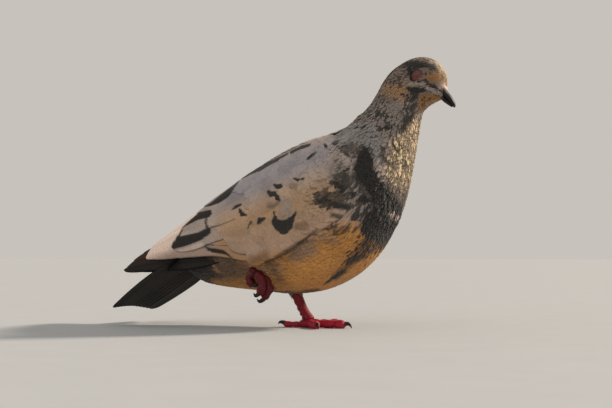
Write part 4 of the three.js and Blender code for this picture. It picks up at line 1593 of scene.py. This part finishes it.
@dataclass
class Trunk(Assembly):
    """Head, neck and trunk: one skin and the small feathers over all of it."""

    eyes: Eyes
    # Station, feather length, half-width, spacing, and the coat's depth, in millimetres.
    coat = np.array([
        [0, 14, 3.2, 2.4, 1.3],
        [3, 14, 3.2, 2.4, 1.3],
        [6, 13, 3, 2.3, 1.2],
        [9, 10, 1.8, 1.75, 1.3],
        [11.5, 9, 1.65, 1.6, 1.5],
        [14, 7.6, 1.4, 1.35, 1.3],
        [16.5, 5, 1.05, 1.05, 1.1],
        [19, 3.2, 0.68, 0.8, 0.9],
        [21.5, 2.2, 0.5, 0.62, 0.6],
        [23, 1.5, 0.38, 0.52, 0.4],
    ])
    # Where the pieces of the coat part.
    zones = (
        ("head", 16.9, 22.95),
        ("neck", 12.6, 16.9),
        ("breast", 9.2, 12.6),
        ("belly", 5.2, 9.2),
        ("rear", 0.1, 5.2),
    )

    def size(self, station: Array, column: int) -> Array:
        """A column of the coat's table at these stations, by straight interpolation."""
        return np.interp(station, self.coat[:, 0], self.coat[:, column])

    def build(self) -> None:
        """Makes the skin and the coat."""
        self.skin()
        for number, (name, low, high) in enumerate(self.zones):
            for side in Side:
                self.zone(name, low, high, side, 10 * number + side.value)
        self.mantle()

    def skin(self) -> None:
        """The skin: the body's sheet sunk by the coat's depth, with a hollow round each eye."""
        along, across = grid(np.linspace(0, 23, 300), turns(120))
        normal = BODY_SHEET.frame(along, across).normal
        rings = BODY_SHEET.at(along, across) - normal * (self.size(along, 4) * 0.8)[..., None]
        rings = self.eyes.hollow(rings)
        shape = loft(rings, MARKINGS.paint(rings) * 0.8)
        nodes = ["head", "neck", "trunk", "thigh_left", "thigh_right"]
        self.put("skin", shape, self.finishes.skin, "pale_feathers", *nodes)

    def zone(self, name: str, low: float, high: float, side: Side, seed: int) -> None:
        """The small feathers of one length of the body on one side.

        Args:
            name: The zone's name.
            low: Its first station.
            high: Its last station.
            side: The bird's side.
            seed: Its random numbers.
        """
        half_turn = (0.0, 0.5) if side is Side.LEFT else (0.5, 1.0)
        along, across = scatter(BODY_SHEET, (low, high), half_turn, lambda s: self.size(s, 3), 100 + seed)
        points = BODY_SHEET.at(along, across)
        keep = ~self.covered(points) & (self.eyes.reach(points) > self.eyes.opening + 0.7)
        along, across = along[keep], across[keep]
        rng = np.random.default_rng(200 + seed)
        vary = rng.uniform(0.85, 1.15, len(along))
        length = self.size(along, 1) * vary
        # On the underside nothing reaches past the tail's root, because the tail's own coverts start there.
        under = np.abs(across - 0.5) < 0.2
        length = np.where(under, np.minimum(length, 1 + 12.5 * along), length)
        points = points[keep]
        # Loose feathers are wider and stand up, and those before the wing reach over its front edge.
        loose = MARKINGS.ruffle(MARKINGS.home(points)) * rng.uniform(0.3, 1.0, len(along))
        x, y, z = points.T
        before_wing = ease(-x, -56, -43) * ease(np.abs(y), 20, 29) * ease(z, 62, 74)
        deep = self.size(along, 4)
        made = Feathers(
            sheet=BODY_SHEET, cut=TINY if low > 12 else SMALL, along=along, across=across, seed=300 + seed,
            length=length * (1 + 0.25 * loose),
            half=self.size(along, 2) * rng.uniform(0.85, 1.15, len(along)) * (1 + 0.3 * loose),
            sink=deep - 2.0 * before_wing,
            rise=rng.uniform(0.0, 0.08, len(along)) * deep - 0.9 * loose - 1.9 * before_wing,
            heading=rng.normal(0, 0.1, len(along)), bend=rng.normal(0, 0.12, len(along)),
        )
        slot = "mottled_feathers" if low > 9 else "pale_feathers"
        shape = made.shape(coat_paint(streak=0.04))
        self.put(f"coat_{name}_{side.label}", shape, self.finishes.contour, slot)

    def mantle(self) -> None:
        """The feathers that close the back between the wings."""
        sheet = MantleSheet()
        along, across = scatter(sheet, (-0.6, 10.2), (-1.0, 1.0), 2.8, 401)
        rng = np.random.default_rng(402)
        made = Feathers(
            sheet=sheet, cut=COVERT, along=along, across=across, seed=403, sink=1.4,
            length=13 * rng.uniform(0.88, 1.12, len(along)), half=3.3 * rng.uniform(0.9, 1.1, len(along)),
            rise=rng.uniform(0.0, 0.15, len(along)), heading=rng.normal(0, 0.08, len(along)),
        )
        self.put("coat_mantle", made.shape(coat_paint(gather=0.4)), self.finishes.contour, "pale_feathers")

    @staticmethod
    def covered(points: Array) -> Array:
        """Whether points of the body are well under a folded wing.

        The wing's edges at the same x, from its stations, bound the covered part: higher than the lower
        edge, and further out than the upper one.

        Args:
            points: Points of the body.

        Returns:
            True where no feather is needed.
        """
        rows = WingSheet.shield[::-1]
        x, y, z = points[..., 0], np.abs(points[..., 1]), points[..., 2]
        top_y = np.interp(x, rows[:, 0], rows[:, 1])
        low_z = np.interp(x, rows[:, 0], rows[:, 4])
        return (x < 26 + 15 * ease(z, 96, 106)) & (z > low_z + 4) & (y > top_y + 2)


# ---- wings
@dataclass
class Wing(Assembly):
    """One folded wing: its bed, its coverts, tertials and secondaries, and the blade of primaries."""

    side: Side

    def build(self) -> None:
        """Makes all of the wing's pieces."""
        self.label = f"wing_{self.side.label}"
        self.shield = WingSheet(self.side, WingSheet.shield)
        self.blade = WingSheet(self.side, WingSheet.blade)
        # The sign of the tilts and slants, so that the same edges lie on top on both sides.
        self.inward = -self.side.value
        # Where the wings cross on the back, the left one lies over the right.
        self.lift = 0.6 if self.side is Side.LEFT else 0.0
        self.bed()
        self.primaries()
        self.secondaries()
        self.tertials()
        self.greater_coverts()
        self.coverts()

    def bed(self) -> None:
        """The bed that the feathers lie on: a closed shell inside the shield, seen only between feathers.

        Its outer face is sunk by one depth, and its thickness is half an ellipse over the wing's width.
        """
        sunk, thin, thick = 1.5, 0.2, 2.2
        along, across = grid(np.linspace(0, 11.6, 90), np.linspace(0.03, 0.9, 30))
        normal = self.shield.frame(along, across).normal
        outer = self.shield.at(along, across) - normal * sunk
        ellipse = np.sqrt(4 * across * (1 - across))
        inner = outer - normal * (thin + thick * ellipse)[..., None]
        rings = np.concatenate([outer, inner[:, ::-1]], axis=1)
        shell = loft(rings, MARKINGS.paint(rings) * 0.8)
        self.put(f"{self.label}_bed", shell, self.finishes.skin, "pale_feathers", f"{self.label}_coverts")

    def lay(self, name: str, made: Feathers, paint: Paint, slot: str, *replaces: str) -> None:
        """Adds some of the wing's large feathers as a piece."""
        self.put(f"{self.label}_{name}", made.shape(paint), self.finishes.flight, slot, *replaces)

    def primaries(self) -> None:
        """The blade of primaries: long dark feathers whose tips step up along its upper edge."""
        tips = np.array([(7.7, 0.92), (7.05, 0.6), (6.25, 0.36), (5.45, 0.22), (4.7, 0.12), (3.9, 0.08)])
        place = np.linspace(0, 1, len(tips))
        roots = np.stack([-0.4 + 0 * place, 0.72 - 0.4 * place], axis=-1)
        made = aimed(
            self.blade, PRIMARY, roots, tips, half=lerp(5.4, 5.8, place), sink=1.3 + 0.12 * place,
            rise=0.1 + 0.1 * place, tilt=0.045 * self.inward, slant=0.5 * self.inward, seed=41,
        )

        def colour(points: Array) -> Array:
            """Brown-black, warmer and redder on the upper part near the tip."""
            warm = ease(points[..., 2], 42, 52) * ease(-points[..., 0], 95, 122)
            return mix("#2e2b29", "#4a2f26", 0.75 * warm)

        paint = web_paint(colour, 0.6)
        self.lay("primary_feathers", made, paint, "flight_feathers", f"{self.label}_primaries")

    def secondaries(self) -> None:
        """The secondaries: long feathers whose pale ends make the rear of the folded wing."""
        place = np.linspace(0, 1, 9)
        roots = np.stack([6.6 - 0.6 * place, 0.98 - 0.8 * place], axis=-1)
        tips = np.stack([13.15 - 0.35 * place, 0.76 - 0.76 * place], axis=-1)
        made = aimed(
            self.shield, SECONDARY, roots, tips, half=6.5, sink=1.35, rise=0.95 - self.lift,
            tilt=0.05 * self.inward, slant=0.8 * self.inward, seed=43,
        )

        def colour(points: Array) -> Array:
            """Pinkish grey, with painted sunlight paling the upper rear, and tan at the roots, partly painted
            warm light from the floor, with the marks over it.
            """
            # Painted sunlight: the upper rear is blended towards the sunlit tone.
            pale = ease(points[..., 2] - 0.35 * points[..., 0], 83, 94)
            ground = mix("#ae968a", Tone.LIT.value, pale)
            ground = mix(ground, Tone.TAN.value, 0.8 * ease(points[..., 0], -62, -50))
            return mix(ground, Tone.CHARCOAL.value, MARKINGS.most(WING_MARKS, MARKINGS.home(points)))

        paint = web_paint(colour, 0.85)
        self.lay("secondary_feathers", made, paint, "pale_feathers", f"{self.label}_secondaries")

    def tertials(self) -> None:
        """The tertials and long scapulars, over the upper half of the secondaries and across the midline."""
        place = np.linspace(0, 1, 7)
        roots = np.stack([5.2 - 0.4 * place, 0.72 - 0.74 * place], axis=-1)
        tips = np.stack([11.4 - 1.6 * place, 0.76 - 0.76 * place], axis=-1)
        made = aimed(
            self.shield, TERTIAL, roots, tips, half=lerp(9.0, 7.5, place), sink=1.0, rise=0.45 - self.lift,
            tilt=0.05 * self.inward, seed=47,
        )
        self.lay("tertials", made, web_paint(MARKINGS.paint, 0.93), "pale_feathers")

    def greater_coverts(self) -> None:
        """The greater coverts: one row over the roots of the secondaries, down to the wing's lower edge."""
        place = np.linspace(0, 1, 10)
        roots = np.stack([4.4 - 0.2 * place, 0.92 - 0.36 * place], axis=-1)
        tips = np.stack([8.0 + 1.3 * place, 0.9 - 0.26 * place], axis=-1)
        made = aimed(
            self.shield, TERTIAL, roots, tips, half=6.4, sink=0.8, rise=0.3, bend=0.06,
            tilt=0.05 * self.inward, seed=53,
        )
        self.lay("greater_coverts", made, web_paint(MARKINGS.paint, 0.95), "pale_feathers")

    def coverts(self) -> None:
        """The small and middle coverts of the wing's shoulder, growing from front to rear.

        The middle coverts stop where the greater coverts and the tertials take over.
        """
        for name, span, cut, seed in (("lesser", (0.5, 3.4), LESSER, 61), ("median", (3.3, 7.4), MEDIAN, 67)):
            stops = [0, 3, 5, 8]
            along, across = scatter(
                self.shield, span, (0.0, 1.0), lambda t: np.interp(t, stops, [2, 3, 4.8, 6]), seed,
            )
            keep = along < 5.9 + 1.3 * ease(-across, -0.55, -0.2)
            along, across = along[keep], across[keep]
            rng = np.random.default_rng(seed)
            vary = rng.uniform(0.9, 1.1, (2, len(along)))
            # The foremost ones go under the feathers that come over from the breast.
            deep = 0.8 * (1 - ease(along, 0.5, 1.6))
            made = Feathers(
                sheet=self.shield, cut=cut, along=along, across=across, sink=0.7, seed=seed,
                length=np.interp(along, stops, [9, 13, 20, 25]) * vary[0],
                half=np.interp(along, stops, [2.4, 3.6, 6, 7.4]) * vary[1],
                rise=deep + rng.uniform(0.0, 0.1, len(along)), heading=rng.normal(0.0, 0.05, len(along)),
            )
            shape = made.shape(coat_paint(gather=0.25))
            self.put(f"{self.label}_{name}_coverts", shape, self.finishes.contour, "pale_feathers")


# ---- tail
@dataclass
class Tail(Assembly):
    """Twelve tail feathers in a narrow fan, and the coverts over and under their roots."""

    feathers: int = 12

    def build(self) -> None:
        """Makes the tail's pieces."""
        top = TailSheet(1)
        under = TailSheet(-1)
        place = (np.arange(self.feathers) + 0.5) / self.feathers * 2 - 1
        outer = np.abs(place)
        roots = np.stack([0.04 + 0 * place, 0.42 * place], axis=-1)
        right = np.maximum(-place, 0)
        tips = np.stack([1.0 + 0.015 * place**2 + 0.025 * right**2, 0.87 * place - 0.05 * right], axis=-1)
        made = aimed(
            top, RECTRIX, roots, tips, half=6.4, sink=0.4 + 0.9 * outer, rise=0.2 + 0.9 * outer,
            tilt=-0.03 * np.sign(place), bend=0.6 * place, seed=71,
        )

        def colour(points: Array) -> Array:
            """Slate black, with a blacker band towards the tip and browner edges."""
            tip = ease(-points[..., 0], 112, 128)
            brown = 0.5 * value_noise(points, 14, 12)
            return mix(mix("#1b1918", "#0f0e0e", tip), "#231b16", brown)

        shape = made.shape(web_paint(colour, 0.85))
        self.put("tail_feathers", shape, self.finishes.flight, "flight_feathers", "tail")
        for name, sheet, reach, seed in (("over", top, 0.3, 73), ("under", under, 0.1, 79)):
            self.coverts(name, sheet, reach, seed)

    def coverts(self, name: str, sheet: TailSheet, reach: float, seed: int) -> None:
        """Soft coverts on one face of the tail's root.

        Args:
            name: Where they are.
            sheet: The tail's face.
            reach: The share of the tail's length where the last of them are rooted.
            seed: Their random numbers.
        """
        along, across = scatter(sheet, (0.0, reach), (-0.55, 0.55), 2.6, seed)
        rng = np.random.default_rng(seed)
        deep = 1 - along / reach
        made = Feathers(
            sheet=sheet, cut=COVERT, along=along, across=across,
            length=14 * rng.uniform(0.85, 1.15, len(along)), half=3.6 * rng.uniform(0.85, 1.15, len(along)),
            sink=-0.2 - 2.5 * deep, rise=-0.4 - 1.2 * deep,
            heading=rng.normal(0, 0.1, len(along)) - 0.12 * across, seed=seed,
        )
        shape = made.shape(coat_paint(streak=0.05))
        self.put(f"tail_{name}_coverts", shape, self.finishes.contour, "pale_feathers")


# ---- bill
def sphere(open_: float, rings: int) -> Array:
    """Rings of 48 points on the unit sphere round Z, from near one pole to near the other.

    Args:
        open_: The angle from a pole to the ring beside it.
        rings: How many rings.

    Returns:
        The points.
    """
    polar, turn = grid(np.linspace(open_, math.pi - open_, rings), FULL_TURN * turns(48))
    return xyz(np.sin(polar) * np.cos(turn), np.sin(polar) * np.sin(turn), np.cos(polar))


def leaning(points: Array, tilt: float) -> Array:
    """Points turned about Y, which takes X down and Z forward."""
    x, y, z = np.moveaxis(points, -1, 0)
    return xyz(x * math.cos(tilt) + z * math.sin(tilt), y, z * math.cos(tilt) - x * math.sin(tilt))


@dataclass
class Bill(Assembly):
    """The bill's two halves and the cere, with sizes in millimetres."""

    cere_half: tuple[float, float, float] = (2.3, 3.4, 1.6)
    cere_middle: tuple[float, float, float] = (100.2, 0, 162.1)
    cere_lean: float = 0.95
    pinch: float = 0.28
    pinch_width: float = 0.8

    # Upper line x and z, lower line x and z, half-width.
    upper = np.array([
        [99.6, 163.2, 97.2, 157.9, 4.1],
        [101.6, 160.6, 99.4, 156.6, 3.9],
        [103.3, 158.4, 101.2, 154.7, 3.4],
        [105, 156.3, 102.9, 152.8, 2.9],
        [106.4, 154, 104.5, 151, 2.3],
        [107.4, 151.3, 105.9, 149.3, 1.7],
        [107.6, 149, 106.6, 148.3, 1.1],
    ])
    lower = np.array([
        [96.6, 158.3, 94.6, 155.2, 3.9],
        [99, 157.3, 97.3, 154.6, 3.7],
        [101.2, 155.3, 99.9, 152.4, 3],
        [103, 153.4, 102.1, 150.8, 2.4],
        [104.7, 151.6, 104.1, 149.4, 1.9],
        [106, 150.2, 105.4, 148.8, 1.3],
    ])

    def build(self) -> None:
        """Makes both halves and the cere."""
        for name, rows, fleshy in (("bill_upper", self.upper, 0.0), ("bill_lower", self.lower, 1.0)):
            self.put(f"{name}_horn", self.half(rows, fleshy), self.finishes.horn, "horn", name)
        self.put("cere_lobes", self.cere(), self.finishes.cere, "cere", "cere")

    def half(self, rows: Array, fleshy: float) -> Shape:
        """One half of the bill: ovals between its upper and lower lines, shrinking to a rounded tip.

        Args:
            rows: The half's stations.
            fleshy: How pink its root is.

        Returns:
            The half.
        """
        share, turn = grid(np.linspace(0, 1, 60), turns(40))
        top_x, top_z, low_x, low_z, half = np.moveaxis(through(rows, share * (len(rows) - 1)), -1, 0)
        close = np.sqrt(np.clip(1 - ease(share, 0.93, 1.0) ** 2 * 0.9, 0, 1))
        up = (1 + signed_power(np.cos(2 * np.pi * turn), 0.85) * close) / 2
        y = half * close * np.sin(2 * np.pi * turn)
        rings = xyz(lerp(low_x, top_x, up), y, lerp(low_z, top_z, up))
        root = 1 - ease(share, 0.12, 0.4)
        return loft(rings, mix("#1f1d1c", "#80564a", fleshy * 0.8 * root))

    def cere(self) -> Shape:
        """The cere: two joined swellings over the bill's root, as one oval pinched along the midline."""
        x, y, z = np.moveaxis(sphere(0.06, 30)[..., [0, 2, 1]] * np.array(self.cere_half), -1, 0)
        z = z * (1 - self.pinch * np.exp(-((y / self.pinch_width) ** 2)))
        rings = leaning(xyz(x, y, z), self.cere_lean) + np.array(self.cere_middle)
        return loft(rings, mix("#d9c0b2", "#c08f80", 0.6 * value_noise(rings, 1.1, 21)))


# ---- feet
CRIMSON = "#98142b"
DEEP_RED = "#5a0f1d"
PALE_RED = "#b9554f"
ACROSS = (0, 1, 0)
UP = (0, 0, 1)


def on_floor(points: Array) -> Array:
    """Points that are under the floor, moved up to it."""
    return np.maximum(points, [-np.inf, -np.inf, 0])


def scaled_tube(
    path: Path, radii: Sequence[float], square_to: Sequence[float], scutes: float, front: float, dim: float,
    rings: int = 0,
) -> Shape:
    """A toe or shank: a tube ringed by overlapping scutes on its front, with soft pads behind.

    The radius is the table's, times a saw of shallow steps that repeats once a scute and fades away from
    the front, and it closes to a rounded end.

    Args:
        path: Points of its middle line.
        radii: Its radius at even steps along it.
        square_to: A direction that the path never takes.
        scutes: The length of one scute in millimetres.
        front: The turn round the tube where the scutes are.
        dim: A factor on its colour.
        rings: How many rings, or 0 for six a scute.

    Returns:
        The tube.
    """
    sheet = LimbSheet(path, radii, square_to)
    line = sheet.at(np.linspace(0, 1, 60), np.zeros(60))
    length = np.linalg.norm(np.diff(line, axis=0), axis=1).sum()
    count = rings or max(24, int(6 * length / scutes))
    share, turn = grid(np.linspace(0, 1, count), turns(28))
    centre = through(sheet.path, share * (len(sheet.path) - 1))
    wall = sheet.at(share, turn) - centre
    facing = (1 + np.cos(2 * np.pi * (turn - front))) / 2
    saw = (share * length / scutes) % 1
    step = 0.12 * facing**1.5 * (ease(saw, 0.0, 0.25) * (1 - 0.6 * saw)) - 0.03
    pads = 0.08 * (1 - facing) * np.sin(2 * np.pi * share * length / (scutes * 2.6))
    close = np.sqrt(np.clip(1 - ease(share, 0.88, 1.0) ** 2 * 0.93, 0, 1))
    open_ = np.sqrt(np.clip(1 - ease(1 - share, 1 - 0.05, 1.0) ** 2 * 0.7, 0, 1))
    points = on_floor(centre + wall * ((1 + step + pads) * close * open_)[..., None])
    crease = facing * (1 - ease(np.abs(saw - 0.02), 0.0, 0.16))
    colour = mix(CRIMSON, DEEP_RED, 0.5 * facing * (1 - crease) * value_noise(points, 2.2, 4))
    colour = mix(colour, PALE_RED, 0.4 * crease)
    colour = mix(colour, PALE_RED, 0.2 * (value_noise(points, 5.0, 6) > 0.66))
    return loft(points, colour * dim)


def claw(path: Path, radius: float, square_to: Sequence[float]) -> Shape:
    """A claw: a curved cone of horn, rounded at its root and nearly pointed.

    Args:
        path: Points of its middle line.
        radius: Its radius at the root.
        square_to: A direction that the path never takes.

    Returns:
        The claw.
    """
    sheet = LimbSheet(path, [radius, radius * 0.92, radius * 0.72, radius * 0.44, 0.22], square_to)
    share, turn = grid(np.linspace(0, 1, 30), turns(16))
    return loft(on_floor(sheet.at(share, turn)), mix("#3a302c", "#17130f", ease(share, 0.0, 0.7)))


def egg(at: Sequence[float], half: Sequence[float], tilt: float, dim: float) -> Shape:
    """A fleshy pad: an ellipsoid leaning about Y, dimpled by noise.

    Args:
        at: Its middle.
        half: Its half-axes.
        tilt: Its lean in radians.
        dim: A factor on its colour.

    Returns:
        The pad.
    """
    ball = sphere(0.04, 36) * np.array(half)
    dimples = 0.97 + 0.05 * value_noise(ball + 20, 1.6, 8)
    points = on_floor(leaning(ball, tilt) * dimples[..., None] + np.array(at))
    return loft(points, dim * mix(CRIMSON, DEEP_RED, 0.6 * value_noise(points, 2.4, 4)))


@dataclass
class Feet(Assembly):
    """The standing left foot and the tucked right one, in millimetres, as the CAD model has them."""

    shank_radius: float = 3.5
    toe_radius: float = 2.8
    claw_radius: float = 1.6
    sole_x: float = 2.0
    # Factors on the colours that paint light and shade: the toes lighter as painted light from the sun and
    # the floor, the shank darker as painted shade, and the tucked foot much darker as painted shade from the
    # down round it.
    toe_painted_light: float = 1.25
    shank_painted_shade: float = 0.7
    tucked_painted_shade: float = 0.38
    sole = np.array([1.4, 0, 2.48])
    sole_half = (6.6, 5.6, 4.0)
    tucked_knuckle_half = (4.8, 7.0, 4.0)
    knuckle = np.array([2.6, 0.4, 4.2])
    heel = np.array([-14.6, 5, 36])
    tucked_knuckle = np.array([-27.0, -24, 39.6])
    tucked_heel = np.array([-41.0, -20, 52])
    # Number, heading in degrees, length, thickness.
    standing = ((1, 181, 17.5, 0.72), (2, -53, 20, 0.96), (3, -3, 27, 1.0), (4, 47, 23, 0.96))
    # Number, then x, y and z of four points of its middle line and of the claw's tip.
    tucked = {
        1: [-28.5, -22.6, 37.6, -33, -22.4, 35.6, -32.4, -22.6, 31.6, -29.4, -22.8, 29.4, -26.9, -23, 31.2],
        2: [-24, -19.2, 38.6, -19.4, -18.4, 34, -19.4, -18.2, 28, -21.8, -18.4, 23.6, -26.2, -19, 23.6],
        3: [-24, -24.6, 38.8, -18.9, -24.8, 33.8, -18.7, -24.8, 26, -21.2, -24.6, 19.6, -26.4, -24.6, 20.2],
        4: [-24, -29.4, 38.2, -20.4, -30.4, 34, -20.2, -30.6, 28.2, -22.2, -30.4, 23.6, -26.4, -30, 24.4],
    }

    def build(self) -> None:
        """Makes both feet, their claws and the feathered cuff over the standing shank."""
        for number, heading, length, thick in self.standing:
            self.standing_toe(number, math.radians(heading), length, thick)
        for number, path in self.tucked.items():
            self.tucked_toe(number, np.reshape(path, (-1, 3)))
        bend = lerp(self.knuckle, self.heel, 0.35) + np.array([-1.2, 0, 0])
        leg_path = [self.knuckle, bend, self.heel]
        radii = [self.shank_radius * share for share in (1.2, 1, 0.98, 1.1, 1.3)]
        # Painted shade darkens the shank's colour.
        shank = scaled_tube(leg_path, radii, ACROSS, scutes=1.9, front=0.0, dim=self.shank_painted_shade, rings=120)
        self.scaled("standing_shank", shank, "shank_left")
        self.scaled("standing_sole", egg(self.sole, self.sole_half, tilt=0.0, dim=1.0), "sole_left")
        radius = self.shank_radius * 0.85
        knuckle, heel = self.tucked_knuckle, self.tucked_heel
        path = [knuckle, lerp(knuckle, heel, 0.5), heel]
        # Painted shade from the down darkens the tucked shank and its pad.
        shank = scaled_tube(path, [radius] * 3, ACROSS, scutes=1.8, front=0.0, dim=self.tucked_painted_shade)
        self.scaled("tucked_shank", shank, "shank_right")
        pad = egg(knuckle, self.tucked_knuckle_half, tilt=0.3, dim=self.tucked_painted_shade)
        self.scaled("tucked_knuckle", pad, "knuckle_right")
        self.cuff(LimbSheet(leg_path, [radius * 1.5] * 2, ACROSS))

    def scaled(self, name: str, shape: Shape, node: str) -> None:
        """Adds a piece of the feet's scaly skin."""
        self.put(name, shape, self.finishes.scales, "leg_scales", node)

    def standing_toe(self, number: int, heading: float, length: float, thick: float) -> None:
        """One toe of the standing foot and its claw.

        Args:
            number: The toe's number, 1 for the hind toe.
            heading: The way it points, from above.
            length: Its length without the claw.
            thick: Its thickness as a share of the full one.
        """
        r = self.toe_radius * thick

        def at(reach: float, z: float) -> tuple[float, float, float]:
            """A point over the toe's line on the floor."""
            return (self.sole_x + reach * math.cos(heading), reach * math.sin(heading), z)

        path = [at(2.5, 3.8), at(length * 0.35, r * 0.98), at(length * 0.7, r * 0.92)]
        path += [at(length + 1.6, r * 0.9)]
        radii = [r * share for share in (0.76, 1, 0.88, 1.1, 0.9, 1.14, 0.8)]
        tip = 2 if number == 1 else 0.4
        past = ((-0.5, 2.6), (2.2, 3.3), (4.2, 2.2 + tip / 2), (5.4, tip))
        hook = [at(length + reach, height) for reach, height in past]
        # Painted light brightens the toe's colour.
        toe = scaled_tube(path, radii, UP, scutes=1.5, front=0.25, dim=self.toe_painted_light)
        self.scaled(f"standing_toe_{number}", toe, f"toe_left_{number}")
        hook = claw(hook, self.claw_radius, UP)
        self.put(f"standing_claw_{number}", hook, self.finishes.horn, "horn", f"claw_left_{number}")

    def tucked_toe(self, number: int, path: Array) -> None:
        """One curled toe of the tucked foot and its claw.

        Args:
            number: The toe's number.
            path: Its middle line, and the claw's tip last.
        """
        before, end, tip = path[2:]
        bend = (end + tip) / 2 + 1.5 * unit(end - before)
        radii = [self.toe_radius * share for share in (1, 1.08, 0.94, 1.06, 0.8)]
        # Painted shade from the down darkens the tucked toe.
        toe = scaled_tube(path[:4], radii, ACROSS, scutes=1.5, front=0.5, dim=self.tucked_painted_shade)
        self.scaled(f"tucked_toe_{number}", toe, f"toe_right_{number}")
        hook = claw([lerp(end, before, 0.12), bend, tip], self.claw_radius, ACROSS)
        self.put(f"tucked_claw_{number}", hook, self.finishes.horn, "horn", f"claw_right_{number}")

    def cuff(self, sheet: LimbSheet) -> None:
        """The loose feathers that hang round the top of the standing shank."""
        sheet.flow = -1
        rng = np.random.default_rng(91)
        count = 70
        along = rng.uniform(0.72, 0.98, count)
        made = Feathers(
            sheet=sheet, cut=SMALL, along=along, across=rng.random(count), length=rng.uniform(4, 7, count),
            half=rng.uniform(1.0, 1.6, count), sink=0.6, rise=rng.uniform(-0.9, -0.2, count),
            heading=rng.normal(0, 0.15, count), seed=92,
        )
        # Painted shade: the cuff's colour is darkened, as it hangs under the belly.
        self.put("standing_cuff", made.shape(coat_paint(dim=0.6)), self.finishes.contour, "pale_feathers")


# ---- studio
@dataclass
class Studio:
    """The floor, the lights and the camera, in metres, degrees, the sensor's millimetres and pixels."""

    azimuth: float = 22.0
    pitch: float = 2.81
    distance: float = 0.770
    height: float = 0.0483
    sensor: float = 36.0
    focal_pixels: float = 1100.0
    picture_width: float = 612.0
    sky: str = "#fcf5ed"
    sky_strength: float = 0.59

    def build(self) -> None:
        """Makes the studio."""
        self.floor()
        self.sun("key", (0.8, 0.6, 0.62), strength=4.4, spread=8.0, colour="#ffeedb")
        self.sun("fill", (-0.25, -1.0, 0.7), strength=0.35, spread=60.0, colour="#f6f3f0")
        world = bpy.data.worlds.new("studio")
        world.use_nodes = True
        background = world.node_tree.nodes["Background"]
        background.inputs["Color"].default_value = (*linear(self.sky), 1)
        background.inputs["Strength"].default_value = self.sky_strength
        bpy.context.scene.world = world
        bpy.context.scene.view_settings.view_transform = "Standard"
        self.camera()

    def floor(self) -> None:
        """A plain pale floor, matt and very slightly mottled."""
        mesh = bpy.data.meshes.new("floor")
        reach = 40.0
        corners = [(x * reach, y * reach, 0) for x, y in ((-1, -1), (1, -1), (1, 1), (-1, 1))]
        mesh.from_pydata(corners, [], [(0, 1, 2, 3)])
        floor = placed("floor", mesh)
        made = bpy.data.materials.new("pale_plaster")
        made.use_nodes = True
        tree = made.node_tree
        shader = tree.nodes["Principled BSDF"]
        place = add_node(tree, "ShaderNodeTexCoord")
        coarse = {"Scale": 30.0, "Detail": 3.0}
        grain = add_node(tree, "ShaderNodeTexNoise", coarse, {"Vector": place.outputs["Object"]})
        greys = {"data_type": "RGBA", 6: (*linear("#a7abae"), 1), 7: (*linear("#aeb2b5"), 1)}
        tone = add_node(tree, "ShaderNodeMix", greys, {0: grain.outputs["Fac"]})
        tree.links.new(tone.outputs[2], shader.inputs["Base Color"])
        shader.inputs["Roughness"].default_value = 0.8
        mesh.materials.append(made)

    @staticmethod
    def sun(
        name: str, toward: tuple[float, float, float], strength: float, spread: float, colour: str,
    ) -> None:
        """A distant soft light.

        Args:
            name: Its name.
            toward: The direction from the bird to it.
            strength: Its irradiance in watts per square metre.
            spread: The angle that it fills, in degrees.
            colour: Its sRGB colour.
        """
        light = bpy.data.lights.new(name, "SUN")
        light.energy = strength
        light.angle = math.radians(spread)
        light.color = linear(colour)
        lamp = placed(name, light)
        x, y, z = toward
        lamp.rotation_euler = (math.acos(z / math.sqrt(x * x + y * y + z * z)), 0, math.atan2(x, -y))

    def camera(self) -> None:
        """The camera: a level line to the axis over the foot, pitched up a little."""
        turn = math.radians(self.azimuth)
        data = bpy.data.cameras.new("camera")
        data.lens = self.sensor * self.focal_pixels / self.picture_width
        data.sensor_width = self.sensor
        camera = placed("camera", data)
        camera.location = (self.distance * math.sin(turn), -self.distance * math.cos(turn), self.height)
        camera.rotation_euler = (math.radians(90 + self.pitch), 0, turn)
        bpy.context.scene.camera = camera


def main() -> None:
    """Builds the bird and its studio in order."""
    logging.basicConfig(level=logging.INFO, format="%(name)s: %(message)s")
    finishes = Finishes.made()
    eyes = Eyes(finishes)
    parts = [Trunk(finishes, eyes), eyes, *(Wing(finishes, side) for side in Side)]
    parts += [Tail(finishes), Bill(finishes), Feet(finishes), Studio()]
    for part in parts:
        part.build()


if __name__ == "__main__":
    main()
